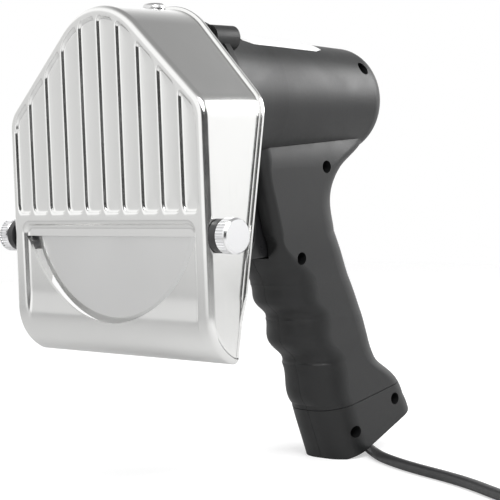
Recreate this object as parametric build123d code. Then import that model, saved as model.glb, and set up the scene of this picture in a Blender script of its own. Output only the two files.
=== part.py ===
from build123d import *
from math import atan2, cos, degrees, hypot, pi, radians, sin, sqrt, tan
import os

# An electric kebab slicer: a round blade behind a ribbed sheet guard, driven by one pair of spur
# gears from a motor that lies along the barrel of a pistol grip.
# Millimetres. X is to the right seen from the front, Y runs from the ribbed plate back along the
# motor, and Z is up from the surface that the slicer stands on.

# General values
touch = 0.01
overrun = 2.0
running_gap = 0.05
seat_gap = 0.15
body_gap = 0.35
seam_gap = 0.3

# Drive train
blade_height = 120.9
gear_module = 1.0
gear_teeth = 60
pinion_teeth = 15
gear_face = 8.0
tooth_backlash = 0.16
pressure_angle = 20.0
gear_centres = gear_module * (gear_teeth + pinion_teeth) / 2
motor_height = blade_height + gear_centres

# Blade
blade_radius = 50.0
blade_thickness = 1.2
blade_front = 4.3
blade_bore_radius = 5.05
blade_bevel = 3.2
blade_edge = 0.2
key_length = 7.0
key_width = 2.6
key_reach = 9.5
key_gap = 0.3
pin_radius = 1.1
pin_reach = 11.0
blade_back = blade_front + blade_thickness

# Guard
guard_width = 115.6
guard_sheet = 1.2
shoulder_height = 152.0
shoulder_radius = 12.0
roof_angle = 41.5
crest_radius = 28.0
guard_depth = 32.2
rim_lean = 12.3
toe_height = 77.1
toe_radius = 20.0
guard_edge_radius = 4.2
lip_width = 1.6
lip_thickness = 1.3
guard_travel = 8.0

rib_pitch = 11.0
groove_count = 9
groove_radius = 2.6
groove_depth = 1.8
groove_foot = 114.7
groove_head_margin = 11.6

recess_width = 104.0
recess_top = 112.3
recess_depth = 1.8
recess_corner = 8.0
window_radius = 55.0
window_rise = 5.1
window_top = 105.6

# Thumb knobs at the sides
knob_height = 105.7
knob_depth = 5.9
knob_radius = 6.6
knob_length = 5.9
knob_chamfer = 0.7
knurl_depth = 0.35
knurl_count = 36
knob_shank_radius = 2.0
washer_thickness = 3.1
washer_gap = 0.1

# Crest screw and its runner
crest_screw_depth = 30.7
crest_head_radius = 4.6
crest_head_height = 2.3
crest_shank_radius = 2.0
runner_width = 18.0
runner_length = 14.0
runner_floor = 182.9

# Carrier that the guard slides on
carrier_sheet = 2.0
carrier_front = 10.2
carrier_width = 36.0
carrier_foot = 96.0
carrier_bore_radius = 12.0
arm_height = 12.0
arm_gap = 1.3
nut_radius = 2.6
nut_length = 3.4
tongue_width = 12.0
tongue_height = 185.6
tongue_back = 40.0
carrier_screw_reach = 20.0
carrier_head_radius = 2.8
carrier_head_height = 1.8
screw_radius = 1.5

# Gearbox
cover_thickness = 3.0
lobe_radius = 35.0
neck_radius = 21.0
case_wall = 3.0
case_depth = 15.8
bush_outer_radius = 7.5
spindle_radius = 5.0
boss_radius = 10.0
cover_boss_height = 3.0
bush_length = 5.2
seal_length = 2.0
collar_radius = 23.0
collar_end = 40.0
case_flange_radius = 31.5
case_flange_end = 44.0
shaft_bore_radius = 7.2
hub_radius = 14.0
hub_thickness = 3.2
blade_head_radius = 8.0
blade_head_height = 0.9
blade_screw_radius = 2.5
blade_screw_length = 9.0
circlip_radius = 7.2
circlip_thickness = 1.0
gear_start = 18.0
gear_bore_radius = spindle_radius

# Black flange between gearbox and barrel
flange_radius = 32.4
flange_thickness = 3.5
ear_x = 21.0
ear_z = 23.0
ear_radius = 4.9
ear_length = 5.0
ear_recess_radius = 3.2
ear_recess_depth = 3.4
spigot_length = 9.0
spigot_wall = 2.2

# Motor
can_radius = 19.0
can_wall = 1.4
can_length = 55.4
bearing_radius = 5.0
bearing_length = 5.0
shaft_radius = 2.5
shaft_front = 17.4
shaft_end = 121.0
core_radius = 13.4
core_start = 57.0
core_length = 33.0
core_slots = 7
slot_width = 2.2
slot_depth = 4.5
magnet_thickness = 3.3
magnet_length = 37.0
winding_radius = 12.2
winding_length = 4.0
commutator_radius = 6.0
commutator_length = 8.0
brush_width = 4.0
brush_length = 7.0
bell_length = 7.0
bell_inner_radius = 15.5
fan_radius = 16.5
fan_length = 8.0
fan_blades = 9

# Handle shells
shell_wall = 2.4
grip_height = 150.0
grip_reach = 170.0
grip_width = 37.0
neck_lean = 15.3
barrel_mouth_radius = 29.6
barrel_root_radius = 26.4
barrel_root = 79.0
barrel_tail_radius = 23.3
barrel_tail = 137.3
dome_length = 15.0
screw_head_radius = 2.5
screw_head_height = 1.8
shell_boss_radius = 3.2
shell_hole_radius = 2.7
shell_screw_seat = 6.5

# Sections of the grip from the foot up: height, front, back and half width as shares of
# grip_height, grip_reach and grip_width, then front and back corner as shares of the half width
grip_section_shares = (
    (-0.040, 0.7190, 1.0240, 0.446, 0.82, 0.73),
    (0.053, 0.6920, 1.0130, 0.449, 0.82, 0.73),
    (0.113, 0.6720, 1.0020, 0.449, 0.82, 0.73),
    (0.164, 0.6560, 0.9800, 0.447, 0.84, 0.74),
    (0.211, 0.6330, 0.9580, 0.443, 0.88, 0.76),
    (0.238, 0.6300, 0.9330, 0.441, 0.90, 0.79),
    (0.262, 0.6270, 0.9020, 0.440, 0.92, 0.83),
    (0.290, 0.6180, 0.8740, 0.440, 0.93, 0.85),
    (0.334, 0.5920, 0.8550, 0.442, 0.94, 0.86),
    (0.368, 0.5660, 0.8450, 0.444, 0.94, 0.86),
    (0.392, 0.5640, 0.8380, 0.445, 0.94, 0.86),
    (0.425, 0.5630, 0.8270, 0.447, 0.94, 0.86),
    (0.455, 0.5480, 0.8150, 0.448, 0.94, 0.86),
    (0.478, 0.5250, 0.8060, 0.450, 0.94, 0.86),
    (0.500, 0.5180, 0.7970, 0.451, 0.94, 0.86),
    (0.530, 0.5130, 0.7830, 0.453, 0.93, 0.85),
    (0.565, 0.4990, 0.7680, 0.455, 0.90, 0.84),
    (0.596, 0.4820, 0.7560, 0.460, 0.66, 0.82),
    (0.628, 0.4760, 0.7430, 0.465, 0.30, 0.80),
    (0.676, 0.4630, 0.7230, 0.470, 0.24, 0.80),
    (0.735, 0.4500, 0.7130, 0.472, 0.24, 0.80),
    (0.780, 0.4390, 0.7130, 0.472, 0.24, 0.80),
    (0.825, 0.4280, 0.7290, 0.474, 0.24, 0.80),
    (0.862, 0.4190, 0.7560, 0.476, 0.30, 0.80),
    (0.890, 0.4120, 0.7930, 0.470, 0.40, 0.80),
    (0.930, 0.4030, 0.8450, 0.440, 0.50, 0.80),
    (1.000, 0.3900, 0.8500, 0.360, 0.60, 0.80),
)

# Rows of the table at which one smooth stretch of the grip meets the next
grip_breaks = (0, 3, 7, 11, 15, 19, 23, 26)

# Screws of the handle halves and of the cap: depth and height on the side of the shell
shell_screw_places = ((134.7, 171.4), (110.7, 129.2), (93.5, 91.0))
cap_screw_places = ((126.0, 12.4), (153.0, 23.6))

# End cap
cap_seam_front = 22.6
cap_seam_slope = 0.18
cap_heel = 124.0
cap_sole_slope = 0.42
cap_sole_edge = 3.0
cap_wall = 2.4

# Trigger, switch and board
trigger_width = 17.4
trigger_height = 109.6
trigger_depth = 76.9
trigger_pull = 5.0
trigger_back = 3.5
opening_gap = 0.9
opening_height = 17.6
stem_radius = 2.4
switch_front = 13.0
switch_length = 15.0
switch_height = 22.0
spring_pocket = 6.5
switch_width = 15.0
plunger_reach = 8.0
spring_wire = 0.7
spring_coils = 5
board_length = 34.0
board_width = 15.0
board_thickness = 1.6

# Cord
cord_diameter = 4.6
cord_gap = 0.5
coil_turns = 4
coil_inner_radius = 17.2
coil_tail = 26.0
relief_root_radius = 4.2
relief_root_length = 13.0
relief_neck_radius = 3.4
relief_tip_radius = 2.9
relief_ring_height = 0.5
relief_depth = 148.0
relief_bend = 4.4
relief_turn = 63.0
clamp_thickness = 3.0
clamp_width = 6.5
clamp_reach = 7.6

# Heading of the cord where the boot ends, as shares of one length
relief_aim_shares = (0.67, -0.40, -0.63)

# Plug
plug_width = 35.0
plug_thickness = 13.8
plug_length = 22.0
plug_boot_length = 24.0
pin_spacing = 18.6
plug_pin_radius = 2.0
plug_pin_length = 19.0


def block(x0, x1, y0, y1, z0, z1):
    """A box between two corners."""
    corner = Pos(min(x0, x1), min(y0, y1), min(z0, z1))
    return corner * Box(abs(x1 - x0), abs(y1 - y0), abs(z1 - z0),
                        align=(Align.MIN, Align.MIN, Align.MIN))


def rod_y(radius, y0, y1, x=0, z=0):
    """A round bar along Y."""
    bar = Cylinder(radius, y1 - y0, align=(Align.CENTER, Align.CENTER, Align.MIN))
    return Pos(x, y0, z) * Rot(-90, 0, 0) * bar


def rod_x(radius, x0, x1, y, z):
    """A round bar along X."""
    bar = Cylinder(radius, abs(x1 - x0), align=(Align.CENTER, Align.CENTER, Align.MIN))
    return Pos(min(x0, x1), y, z) * Rot(0, 90, 0) * bar


def ring_y(outer, inner, y0, y1, x=0, z=0):
    """A tube along Y."""
    return rod_y(outer, y0, y1, x, z) - rod_y(inner, y0 - overrun, y1 + overrun, x, z)


def lathe_y(profile, z):
    """A solid turned about an axis along Y at height z, from points of radius and depth."""
    points = [(radius, depth, 0) for radius, depth in profile]
    face = make_face(Polyline(*points, close=True))
    return Pos(0, 0, z) * revolve(face, Axis.Y)


def solid_of(shape):
    """The largest solid of a result."""
    solids = shape.solids()
    return max(solids, key=lambda item: item.volume)


def mirrored(shape):
    """The same piece on the other side of the middle plane."""
    return mirror(shape, Plane.YZ)


# Guard

roof_slope = tan(radians(roof_angle))
roof_lift = 1 / cos(radians(roof_angle))
roof_peak = shoulder_height + guard_width / 2 * roof_slope
crest_centre = roof_peak - crest_radius * roof_lift
crest_top = crest_centre + crest_radius
guard_room = guard_depth + toe_radius


def rim_depth(height):
    """Depth of the guard's leaning rim at a height."""
    return guard_depth + (height - shoulder_height) * tan(radians(rim_lean))


def front_outline(inset):
    """House shape of the guard seen from the front, drawn in by the inset, run back."""
    half = guard_width / 2 - inset
    peak = roof_peak - inset * roof_lift
    shoulder = peak - roof_slope * half
    foot = toe_height - toe_radius * 2
    points = [(-half, 0, foot), (half, 0, foot), (half, 0, shoulder), (0, 0, peak), (-half, 0, shoulder)]
    side = shoulder_radius - inset
    path = FilletPolyline(*points, radius=[0, 0, side, crest_radius - inset, side], close=True)
    body = extrude(make_face(path), amount=guard_room + guard_depth, dir=(0, 1, 0))
    return Pos(0, -guard_depth, 0) * body


def side_profile(inset):
    """Side view of the guard: a flat front that turns back at the toe."""
    top = roof_peak + overrun
    turn = toe_radius - inset
    foot = toe_height - turn
    start = Vector(0, inset, toe_height)
    middle = Vector(0, toe_radius - turn * cos(pi / 4), toe_height - turn * sin(pi / 4))
    end = Vector(0, toe_radius, foot)
    edges = [
        Line((0, inset, top), start),
        ThreePointArc(start, middle, end),
        Line(end, (0, guard_room, foot)),
        Line((0, guard_room, foot), (0, guard_room, top)),
        Line((0, guard_room, top), (0, inset, top)),
    ]
    return extrude(make_face(edges), amount=guard_width, both=True, dir=(1, 0, 0))


def rim_strip(front_shift, back_shift):
    """Everything between two planes that lie beside the leaning rim."""
    low = -overrun
    high = roof_peak + overrun
    points = [
        (0, rim_depth(low) + front_shift, low),
        (0, rim_depth(high) + front_shift, high),
        (0, rim_depth(high) + back_shift, high),
        (0, rim_depth(low) + back_shift, low),
    ]
    return extrude(make_face(Polyline(*points, close=True)), amount=guard_width, both=True, dir=(1, 0, 0))


def guard_block(inset):
    """Solid under the guard's sheet, with its soft front edge."""
    body = solid_of(front_outline(inset) & side_profile(inset))
    edges = []
    for edge in body.edges():
        size = edge.bounding_box()
        straight = edge.geom_type == GeomType.LINE
        across = size.size.X > guard_width * 0.8
        runs_back = straight and size.size.Y > touch
        if size.min.Y < inset + touch and not across and not runs_back:
            edges.append(edge)
    return solid_of(fillet(edges, guard_edge_radius - inset))


def groove_cutters(inset):
    """The pressed grooves between the ribs."""
    radius = groove_radius + inset
    axis_y = groove_depth - groove_radius
    inner = crest_radius - groove_head_margin
    cutters = []
    for index in range(groove_count):
        x = (index - (groove_count - 1) / 2) * rib_pitch
        if abs(x) < inner * sin(radians(roof_angle)):
            head = crest_centre + sqrt(inner ** 2 - x ** 2)
        else:
            head = roof_peak - roof_slope * abs(x) - groove_head_margin * roof_lift
        low = groove_foot + groove_radius
        high = head - groove_radius
        stem = Pos(x, axis_y, low) * Cylinder(radius, high - low,
                                              align=(Align.CENTER, Align.CENTER, Align.MIN))
        cutters += [stem, Pos(x, axis_y, low) * Sphere(radius), Pos(x, axis_y, high) * Sphere(radius)]
    return cutters


def recess_cutter(inset):
    """The pressed panel that holds the window."""
    half = recess_width / 2 + inset
    top = recess_top + inset
    foot = toe_height - toe_radius
    points = [(-half, 0, foot), (half, 0, foot), (half, 0, top), (-half, 0, top)]
    corner = recess_corner + inset
    face = make_face(FilletPolyline(*points, radius=[0, 0, corner, corner], close=True))
    deep = recess_depth + inset
    return Pos(0, -guard_depth, 0) * extrude(face, amount=guard_depth + deep, dir=(0, 1, 0))


def window_cutter():
    """Half moon through the panel, open to the blade."""
    deep = recess_depth + guard_sheet + touch
    disc = rod_y(window_radius, -overrun, deep, 0, blade_height + window_rise)
    return disc & block(-window_radius, window_radius, -overrun, deep, 0, window_top)


def knob_slot(side):
    """Slot in a side wall that lets the guard slide past the knob's shank."""
    radius = knob_shank_radius + seam_gap
    x0 = side * (guard_width / 2 - guard_sheet - overrun)
    x1 = side * (guard_width / 2 + overrun)
    far = knob_depth + guard_travel
    ends = rod_x(radius, x0, x1, knob_depth, knob_height) + rod_x(radius, x0, x1, far, knob_height)
    return ends + block(x0, x1, knob_depth, far, knob_height - radius, knob_height + radius)


def blade_guard():
    """Sheet shell: ribbed front, recessed panel, walls, roof and the turned lip."""
    outer = guard_block(0) - groove_cutters(0) - recess_cutter(0)
    inner = guard_block(guard_sheet) - groove_cutters(guard_sheet) - recess_cutter(guard_sheet)
    beyond = rim_strip(0, guard_room)
    shell = outer - inner - beyond
    lip = (guard_block(-lip_width) - guard_block(guard_sheet)) & rim_strip(-lip_thickness, 0)
    shell = shell + lip
    shank = Pos(0, crest_screw_depth, crest_centre) * Cone(
        crest_shank_radius + seat_gap, crest_shank_radius + seat_gap + touch, crest_radius + overrun,
        align=(Align.CENTER, Align.CENTER, Align.MIN))
    return solid_of(shell - window_cutter() - knob_slot(1) - knob_slot(-1) - shank)


def guard_top_screw():
    """Button head screw on the crest."""
    head = Cylinder(crest_head_radius, crest_head_height, align=(Align.CENTER, Align.CENTER, Align.MIN))
    rim = head.edges().group_by(Axis.Z)[-1]
    head = fillet(rim, crest_head_height * 0.8)
    socket = Pos(0, 0, crest_head_height * 0.45) * extrude(RegularPolygon(crest_shank_radius * 0.7, 6),
                                                          amount=crest_head_height)
    length = crest_top - tongue_height - carrier_sheet - body_gap
    shank = Cylinder(crest_shank_radius, length, align=(Align.CENTER, Align.CENTER, Align.MAX))
    return Pos(0, crest_screw_depth, crest_top + touch) * solid_of(head - socket + shank)


def guard_guide_block():
    """Nylon runner under the crest that rides on the carrier's tongue."""
    start = crest_screw_depth - runner_length / 2
    body = block(-runner_width / 2, runner_width / 2, start, start + runner_length, runner_floor, crest_top)
    body = body & guard_block(guard_sheet + running_gap)
    half = tongue_width / 2 + seat_gap
    channel = block(-half, half, start - overrun, start + runner_length + overrun,
                    tongue_height - seat_gap, tongue_height + carrier_sheet + seat_gap)
    hole = Pos(0, crest_screw_depth, tongue_height) * Cone(
        crest_shank_radius + running_gap, crest_shank_radius + running_gap + touch, crest_radius,
        align=(Align.CENTER, Align.CENTER, Align.MIN))
    return solid_of(body - channel - hole)


# Thumb knobs

def thumb_knob():
    """Right knob: knurled head with a plain face and a threaded shank."""
    wall = guard_width / 2
    inner = wall + washer_thickness + washer_gap
    outer = inner + knob_length
    head = rod_x(knob_radius, inner, outer, 0, 0)
    head = chamfer(head.edges().filter_by(GeomType.CIRCLE), knob_chamfer)
    notch_width = 2 * pi * knob_radius / knurl_count * 0.5
    face_band = knob_length * 0.24
    notch = Pos(inner + (knob_length - face_band) / 2, 0, knob_radius) * Rot(45, 0, 0) * Box(
        knob_length - face_band, notch_width, notch_width)
    notches = [Rot(360 / knurl_count * index, 0, 0) * notch for index in range(knurl_count)]
    head = head - notches
    end = wall - guard_sheet - arm_gap - carrier_sheet - nut_length
    shank = rod_x(knob_shank_radius, end, inner + overrun, 0, 0)
    return Pos(0, knob_depth, knob_height) * solid_of(head + shank)


def knob_washer():
    """Black spacer between the knob and the guard's wall."""
    start = guard_width / 2 + washer_gap / 2
    body = rod_x(knob_radius - knurl_depth, start, start + washer_thickness, 0, 0)
    body = body - rod_x(knob_shank_radius + running_gap, start - overrun, start + washer_thickness + overrun, 0, 0)
    return Pos(0, knob_depth, knob_height) * solid_of(body)


# Carrier

def guard_carrier():
    """Bent steel bracket: plate on the gearbox cover, two arms to the knobs and a top tongue."""
    back = carrier_front + carrier_sheet
    wall = guard_width / 2 - guard_sheet - arm_gap
    plate = block(-carrier_width / 2, carrier_width / 2, carrier_front, back, carrier_foot,
                  tongue_height + carrier_sheet)
    trim = carrier_width / 2 - tongue_width / 2
    for side in (1, -1):
        corner = Pos(side * carrier_width / 2, back, tongue_height + carrier_sheet) * Rot(0, 45, 0)
        plate = plate - corner * Box(trim * sqrt(2), carrier_sheet * 4, trim * sqrt(2))
    strip = block(-wall, wall, carrier_front, back, knob_height - arm_height / 2, knob_height + arm_height / 2)
    tongue = block(-tongue_width / 2, tongue_width / 2, carrier_front, tongue_back, tongue_height,
                   tongue_height + carrier_sheet)
    body = plate + strip + tongue
    arm_front = knob_depth - nut_radius
    for side in (1, -1):
        arm = block(side * (wall - carrier_sheet), side * wall, arm_front, back,
                    knob_height - arm_height / 2, knob_height + arm_height / 2)
        nut = rod_x(nut_radius, side * (wall - carrier_sheet - nut_length), side * (wall - touch),
                    knob_depth, knob_height)
        body = body + arm + nut
    body = body - rod_x(knob_shank_radius + running_gap, -guard_width, guard_width, knob_depth, knob_height)
    body = body - rod_y(carrier_bore_radius, carrier_front - overrun, back + overrun, 0, blade_height)
    for x, z in carrier_screw_spots():
        body = body - rod_y(screw_radius + seat_gap, carrier_front - overrun, back + overrun, x, z)
    return solid_of(body)


def carrier_screw_spots():
    """Four places around the blade's axis."""
    spots = []
    for index in range(4):
        angle = radians(45 + 90 * index)
        spots.append((carrier_screw_reach * cos(angle), blade_height + carrier_screw_reach * sin(angle)))
    return spots


def carrier_screws():
    """Pan head screws that hold the carrier on the cover."""
    screws = []
    back = carrier_front + carrier_sheet
    for x, z in carrier_screw_spots():
        head = rod_y(carrier_head_radius, carrier_front - carrier_head_height, carrier_front, x, z)
        screws.append(solid_of(head + rod_y(screw_radius, carrier_front, back + cover_thickness, x, z)))
    return Compound(screws)


# Gearbox

cover_front = carrier_front + carrier_sheet
cover_back = cover_front + cover_thickness
case_back = cover_back + case_depth


def gearbox_outline(inset, y0, y1):
    """Pear shape around the two axes."""
    low = rod_y(lobe_radius - inset, y0, y1, 0, blade_height)
    high = rod_y(neck_radius - inset, y0, y1, 0, motor_height)
    tilt = (lobe_radius - neck_radius) / gear_centres
    lean = sqrt(1 - tilt ** 2)
    points = []
    for side, radius, height in ((1, lobe_radius, blade_height), (1, neck_radius, motor_height),
                                 (-1, neck_radius, motor_height), (-1, lobe_radius, blade_height)):
        size = radius - inset
        points.append((side * size * lean, y0, height + size * tilt))
    web = extrude(make_face(Polyline(*points, close=True)), amount=y1 - y0, dir=(0, 1, 0))
    return low + high + web


def box_screw_spots():
    """Places of the gearbox screws around the joint face."""
    reach = lobe_radius - case_wall / 2 + screw_radius * 1.6
    spots = [(reach * cos(radians(angle)), blade_height + reach * sin(radians(angle)))
             for angle in (-90, -55, 235)]
    high = neck_radius - case_wall / 2 + screw_radius * 1.6
    spots += [(high * cos(radians(angle)), motor_height + high * sin(radians(angle)))
              for angle in (5, 175)]
    return spots


def gearbox_cover():
    """Front plate with the boss for the bush and the seal."""
    body = gearbox_outline(0, cover_front, cover_back)
    body = body + rod_y(boss_radius, cover_front - cover_boss_height, gear_start - touch * 30, 0, blade_height)
    for x, z in box_screw_spots():
        body = body + rod_y(screw_radius * 2.4, cover_front, cover_back, x, z)
    for x, z in box_screw_spots() + carrier_screw_spots():
        body = body - rod_y(screw_radius, cover_front - overrun, cover_back + overrun, x, z)
    bore = rod_y(bush_outer_radius, cover_front - cover_boss_height - overrun, gear_start + overrun, 0, blade_height)
    return solid_of(body - bore)


def gearbox_case():
    """Cast case: gear pocket, rear bush boss, motor collar and round flange."""
    body = gearbox_outline(0, cover_back, case_back)
    for x, z in box_screw_spots():
        body = body + rod_y(screw_radius * 2.4, cover_back, case_back, x, z)
    pocket_end = case_back - case_wall
    body = body - gearbox_outline(case_wall, cover_back - overrun, pocket_end)
    boss_end = case_back + bush_length
    body = body + rod_y(boss_radius, pocket_end, boss_end, 0, blade_height)
    body = body - rod_y(bush_outer_radius, pocket_end - overrun, boss_end - case_wall / 2, 0, blade_height)
    body = body + rod_y(collar_radius, case_back - touch, collar_end, 0, motor_height)
    body = body + rod_y(case_flange_radius, collar_end, case_flange_end, 0, motor_height)
    for x, z in ear_spots():
        body = body + rod_y(ear_radius, collar_end, case_flange_end, x, z)
    body = body - rod_y(shaft_bore_radius, pocket_end - overrun, case_flange_end + overrun, 0, motor_height)
    for x, z in box_screw_spots():
        body = body - rod_y(screw_radius, cover_back - overrun, pocket_end, x, z)
    for x, z in ear_spots():
        body = body - rod_y(screw_radius, collar_end - overrun, case_flange_end + overrun, x, z)
    return solid_of(body)


def gearbox_screws():
    """Screws of the cover."""
    screws = []
    for x, z in box_screw_spots():
        head = rod_y(screw_radius * 1.8, cover_front - screw_head_height, cover_front, x, z)
        screws.append(solid_of(head + rod_y(screw_radius, cover_front, case_back - case_wall * 1.5, x, z)))
    return Compound(screws)


def bush_y(y0, length):
    """Sintered bush for the blade spindle."""
    body = ring_y(bush_outer_radius, spindle_radius + running_gap, y0, y0 + length, 0, blade_height)
    return solid_of(body)


def shaft_seal():
    """Lip seal in front of the front bush."""
    start = cover_front - cover_boss_height + seat_gap
    body = ring_y(bush_outer_radius, spindle_radius + running_gap, start, start + seal_length, 0, blade_height)
    groove = ring_y(bush_outer_radius - case_wall / 3, spindle_radius + case_wall / 4, start - overrun,
                    start + seal_length / 2, 0, blade_height)
    return solid_of(body - groove)


# Blade and spindle

def key_shape(gap, y0, y1):
    """Two keys on one line through the blade's centre."""
    keys = []
    for side in (1, -1):
        middle = side * key_reach
        keys.append(block(middle - key_length / 2 - gap, middle + key_length / 2 + gap, y0, y1,
                          blade_height - key_width / 2 - gap, blade_height + key_width / 2 + gap))
    return keys


def round_blade():
    """Plain round knife, ground thin at the rim."""
    profile = [
        (0, blade_front),
        (blade_radius - blade_bevel, blade_front),
        (blade_radius, blade_back - blade_edge),
        (blade_radius, blade_back),
        (0, blade_back),
    ]
    body = lathe_y(profile, blade_height)
    body = body - rod_y(blade_bore_radius, blade_front - overrun, blade_back + overrun, 0, blade_height)
    body = body - key_shape(key_gap, blade_front - overrun, blade_back + overrun)
    hole = rod_y(pin_radius + seat_gap, blade_front - overrun, blade_back + overrun, 0, blade_height + pin_reach)
    return solid_of(body - hole)


def blade_spindle():
    """Hub with keys and a locating pin, and the shaft that carries the gear."""
    hub_back = blade_back + hub_thickness
    body = rod_y(hub_radius, blade_back, hub_back, 0, blade_height)
    body = body + rod_y(spindle_radius, blade_front, case_back + case_wall, 0, blade_height)
    for key in key_shape(0, blade_back - blade_thickness * 0.8, blade_back + touch):
        body = body + key
    pin = rod_y(pin_radius, blade_back - blade_thickness * 0.8, blade_back + touch, 0, blade_height + pin_reach)
    thread = rod_y(blade_screw_radius, blade_front - overrun, blade_front + blade_screw_length + seat_gap,
                   0, blade_height)
    return solid_of(body + pin - thread)


def blade_screw():
    """Low head screw that clamps the blade."""
    front = blade_front - blade_head_height
    body = rod_y(blade_head_radius, front, blade_front, 0, blade_height)
    body = chamfer(body.faces().sort_by(Axis.Y)[0].edges(), blade_head_height / 2)
    body = body + rod_y(blade_screw_radius, blade_front, blade_front + blade_screw_length, 0, blade_height)
    slot = block(-blade_head_radius * 0.6, blade_head_radius * 0.6, front - overrun,
                 front + blade_head_height * 0.6, blade_height - key_width / 4, blade_height + key_width / 4)
    return solid_of(body - slot)


def involute_points(base, radius_list):
    """Radius and polar angle along an involute."""
    points = []
    for radius in radius_list:
        roll = sqrt(max((radius / base) ** 2 - 1, 0))
        points.append((radius, roll - atan2(roll, 1)))
    return points


def spur_gear(teeth, addendum_share, dedendum_share, y0, width, height, turn):
    """Involute spur gear about an axis along Y."""
    pitch = gear_module * teeth / 2
    base = pitch * cos(radians(pressure_angle))
    tip = pitch + gear_module * addendum_share
    root = pitch - gear_module * dedendum_share
    start = max(base, root)
    radius_list = [start + (tip - start) * share for share in (0, 0.35, 0.7, 1)]
    flank = involute_points(base, radius_list)
    pitch_angle = involute_points(base, [pitch])[0][1]
    half = pi / teeth / 2 - tooth_backlash / pitch / 2
    outline = []
    for index in range(teeth):
        middle = 2 * pi * index / teeth + radians(turn)
        low = half + pitch_angle
        outline.append((root, middle - low))
        outline += [(radius, middle - low + angle) for radius, angle in flank]
        outline += [(radius, middle + low - angle) for radius, angle in reversed(flank)]
        outline.append((root, middle + low))
    points = [(radius * cos(angle), y0, height + radius * sin(angle)) for radius, angle in outline]
    tidy = [points[0]]
    for point in points[1:]:
        if hypot(point[0] - tidy[-1][0], point[2] - tidy[-1][2]) > touch:
            tidy.append(point)
    return extrude(make_face(Polyline(*tidy, close=True)), amount=width, dir=(0, 1, 0))


def blade_gear():
    """Large gear with a web and lightening holes."""
    body = spur_gear(gear_teeth, 0.9, 1.15, gear_start, gear_face, blade_height, 90)
    rim_inner = gear_module * gear_teeth / 2 - gear_module * 4.5
    hub_outer = spindle_radius * 1.9
    web_gap = gear_face * 0.3
    body = body - ring_y(rim_inner, hub_outer, gear_start - overrun, gear_start + web_gap, 0, blade_height)
    body = body - ring_y(rim_inner, hub_outer, gear_start + gear_face - web_gap,
                         gear_start + gear_face + overrun, 0, blade_height)
    middle = (rim_inner + hub_outer) / 2
    for index in range(6):
        angle = radians(60 * index)
        body = body - rod_y((rim_inner - hub_outer) * 0.3, gear_start, gear_start + gear_face,
                            middle * cos(angle), blade_height + middle * sin(angle))
    body = body - rod_y(gear_bore_radius, gear_start - overrun, gear_start + gear_face + overrun, 0, blade_height)
    return solid_of(body)


def drive_pinion():
    """Small gear on the motor shaft, a tooth gap facing the large gear."""
    turn = 270 + 180 / pinion_teeth
    body = spur_gear(pinion_teeth, 0.9, 1.15, gear_start - seat_gap, gear_face + body_gap, motor_height, turn)
    return solid_of(body - rod_y(shaft_radius, gear_start - overrun, gear_start + gear_face + overrun,
                                 0, motor_height))


def spindle_circlip():
    """Retaining ring behind the gear."""
    start = gear_start + gear_face + seat_gap
    body = ring_y(circlip_radius, spindle_radius, start, start + circlip_thickness, 0, blade_height)
    gap = block(-circlip_thickness, circlip_thickness, start - overrun, start + circlip_thickness + overrun,
                blade_height, blade_height + circlip_radius + overrun)
    return solid_of(body - gap)


# Motor flange

flange_front = case_flange_end
flange_back = flange_front + flange_thickness


def ear_spots():
    """Places of the four flange screws."""
    return [(side * ear_x, motor_height + level * ear_z) for side in (1, -1) for level in (1, -1)]


def barrel_radius(depth):
    """Outer radius of the barrel's tapered wall."""
    if depth < barrel_root:
        share = (barrel_root - depth) / (barrel_root - flange_back)
        return barrel_root_radius + (barrel_mouth_radius - barrel_root_radius) * share ** 1.6
    share = (depth - barrel_root) / (barrel_tail - barrel_root)
    return barrel_root_radius + (barrel_tail_radius - barrel_root_radius) * share


def motor_flange():
    """Black ring plate with four screw ears and a spigot for the handle shells."""
    body = rod_y(flange_radius, flange_front, flange_back, 0, motor_height)
    body = fillet(body.edges().group_by(Axis.Y)[-1], flange_thickness / 4)
    for x, z in ear_spots():
        body = body + rod_y(ear_radius, flange_front, flange_back + ear_length, x, z)
    spigot = barrel_radius(flange_back + spigot_length) - shell_wall - seat_gap
    body = body + rod_y(spigot, flange_front, flange_back + spigot_length, 0, motor_height)
    body = body - rod_y(spigot - spigot_wall, flange_back, flange_back + spigot_length + overrun, 0, motor_height)
    for x, z in ear_spots():
        recess = flange_back + ear_length - ear_recess_depth
        body = body - rod_y(ear_recess_radius, recess, flange_back + ear_length + overrun, x, z)
        body = body - rod_y(screw_radius + seat_gap, flange_front - overrun, flange_back + ear_length, x, z)
    return solid_of(body - rod_y(shaft_bore_radius, flange_front - overrun, flange_back + overrun, 0, motor_height))


def flange_screws():
    """Screws down the ears into the case."""
    screws = []
    seat = flange_back + ear_length - ear_recess_depth
    for x, z in ear_spots():
        head = rod_y(screw_head_radius, seat, seat + screw_head_height, x, z)
        screws.append(solid_of(head + rod_y(screw_radius, collar_end + seat_gap, seat, x, z)))
    return Compound(screws)


# Motor

can_front = flange_back + touch
can_back = can_front + can_length
bell_back = can_back + bell_length


def motor_can():
    """Drawn steel can with its front bearing seat."""
    body = ring_y(can_radius, can_radius - can_wall, can_front, can_back, 0, motor_height)
    body = body + ring_y(can_radius, bearing_radius, can_front, can_front + can_wall, 0, motor_height)
    seat = ring_y(shaft_bore_radius - seat_gap, bearing_radius, can_front - bearing_length + can_wall,
                  can_front + can_wall, 0, motor_height)
    return solid_of(body + seat)


def motor_bearings():
    """Front and rear sleeve bearings."""
    bearings = []
    for start in (can_front - bearing_length + can_wall, bell_back - bearing_length):
        bearings.append(solid_of(ring_y(bearing_radius, shaft_radius + running_gap, start,
                                        start + bearing_length, 0, motor_height)))
    return Compound(bearings)


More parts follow.
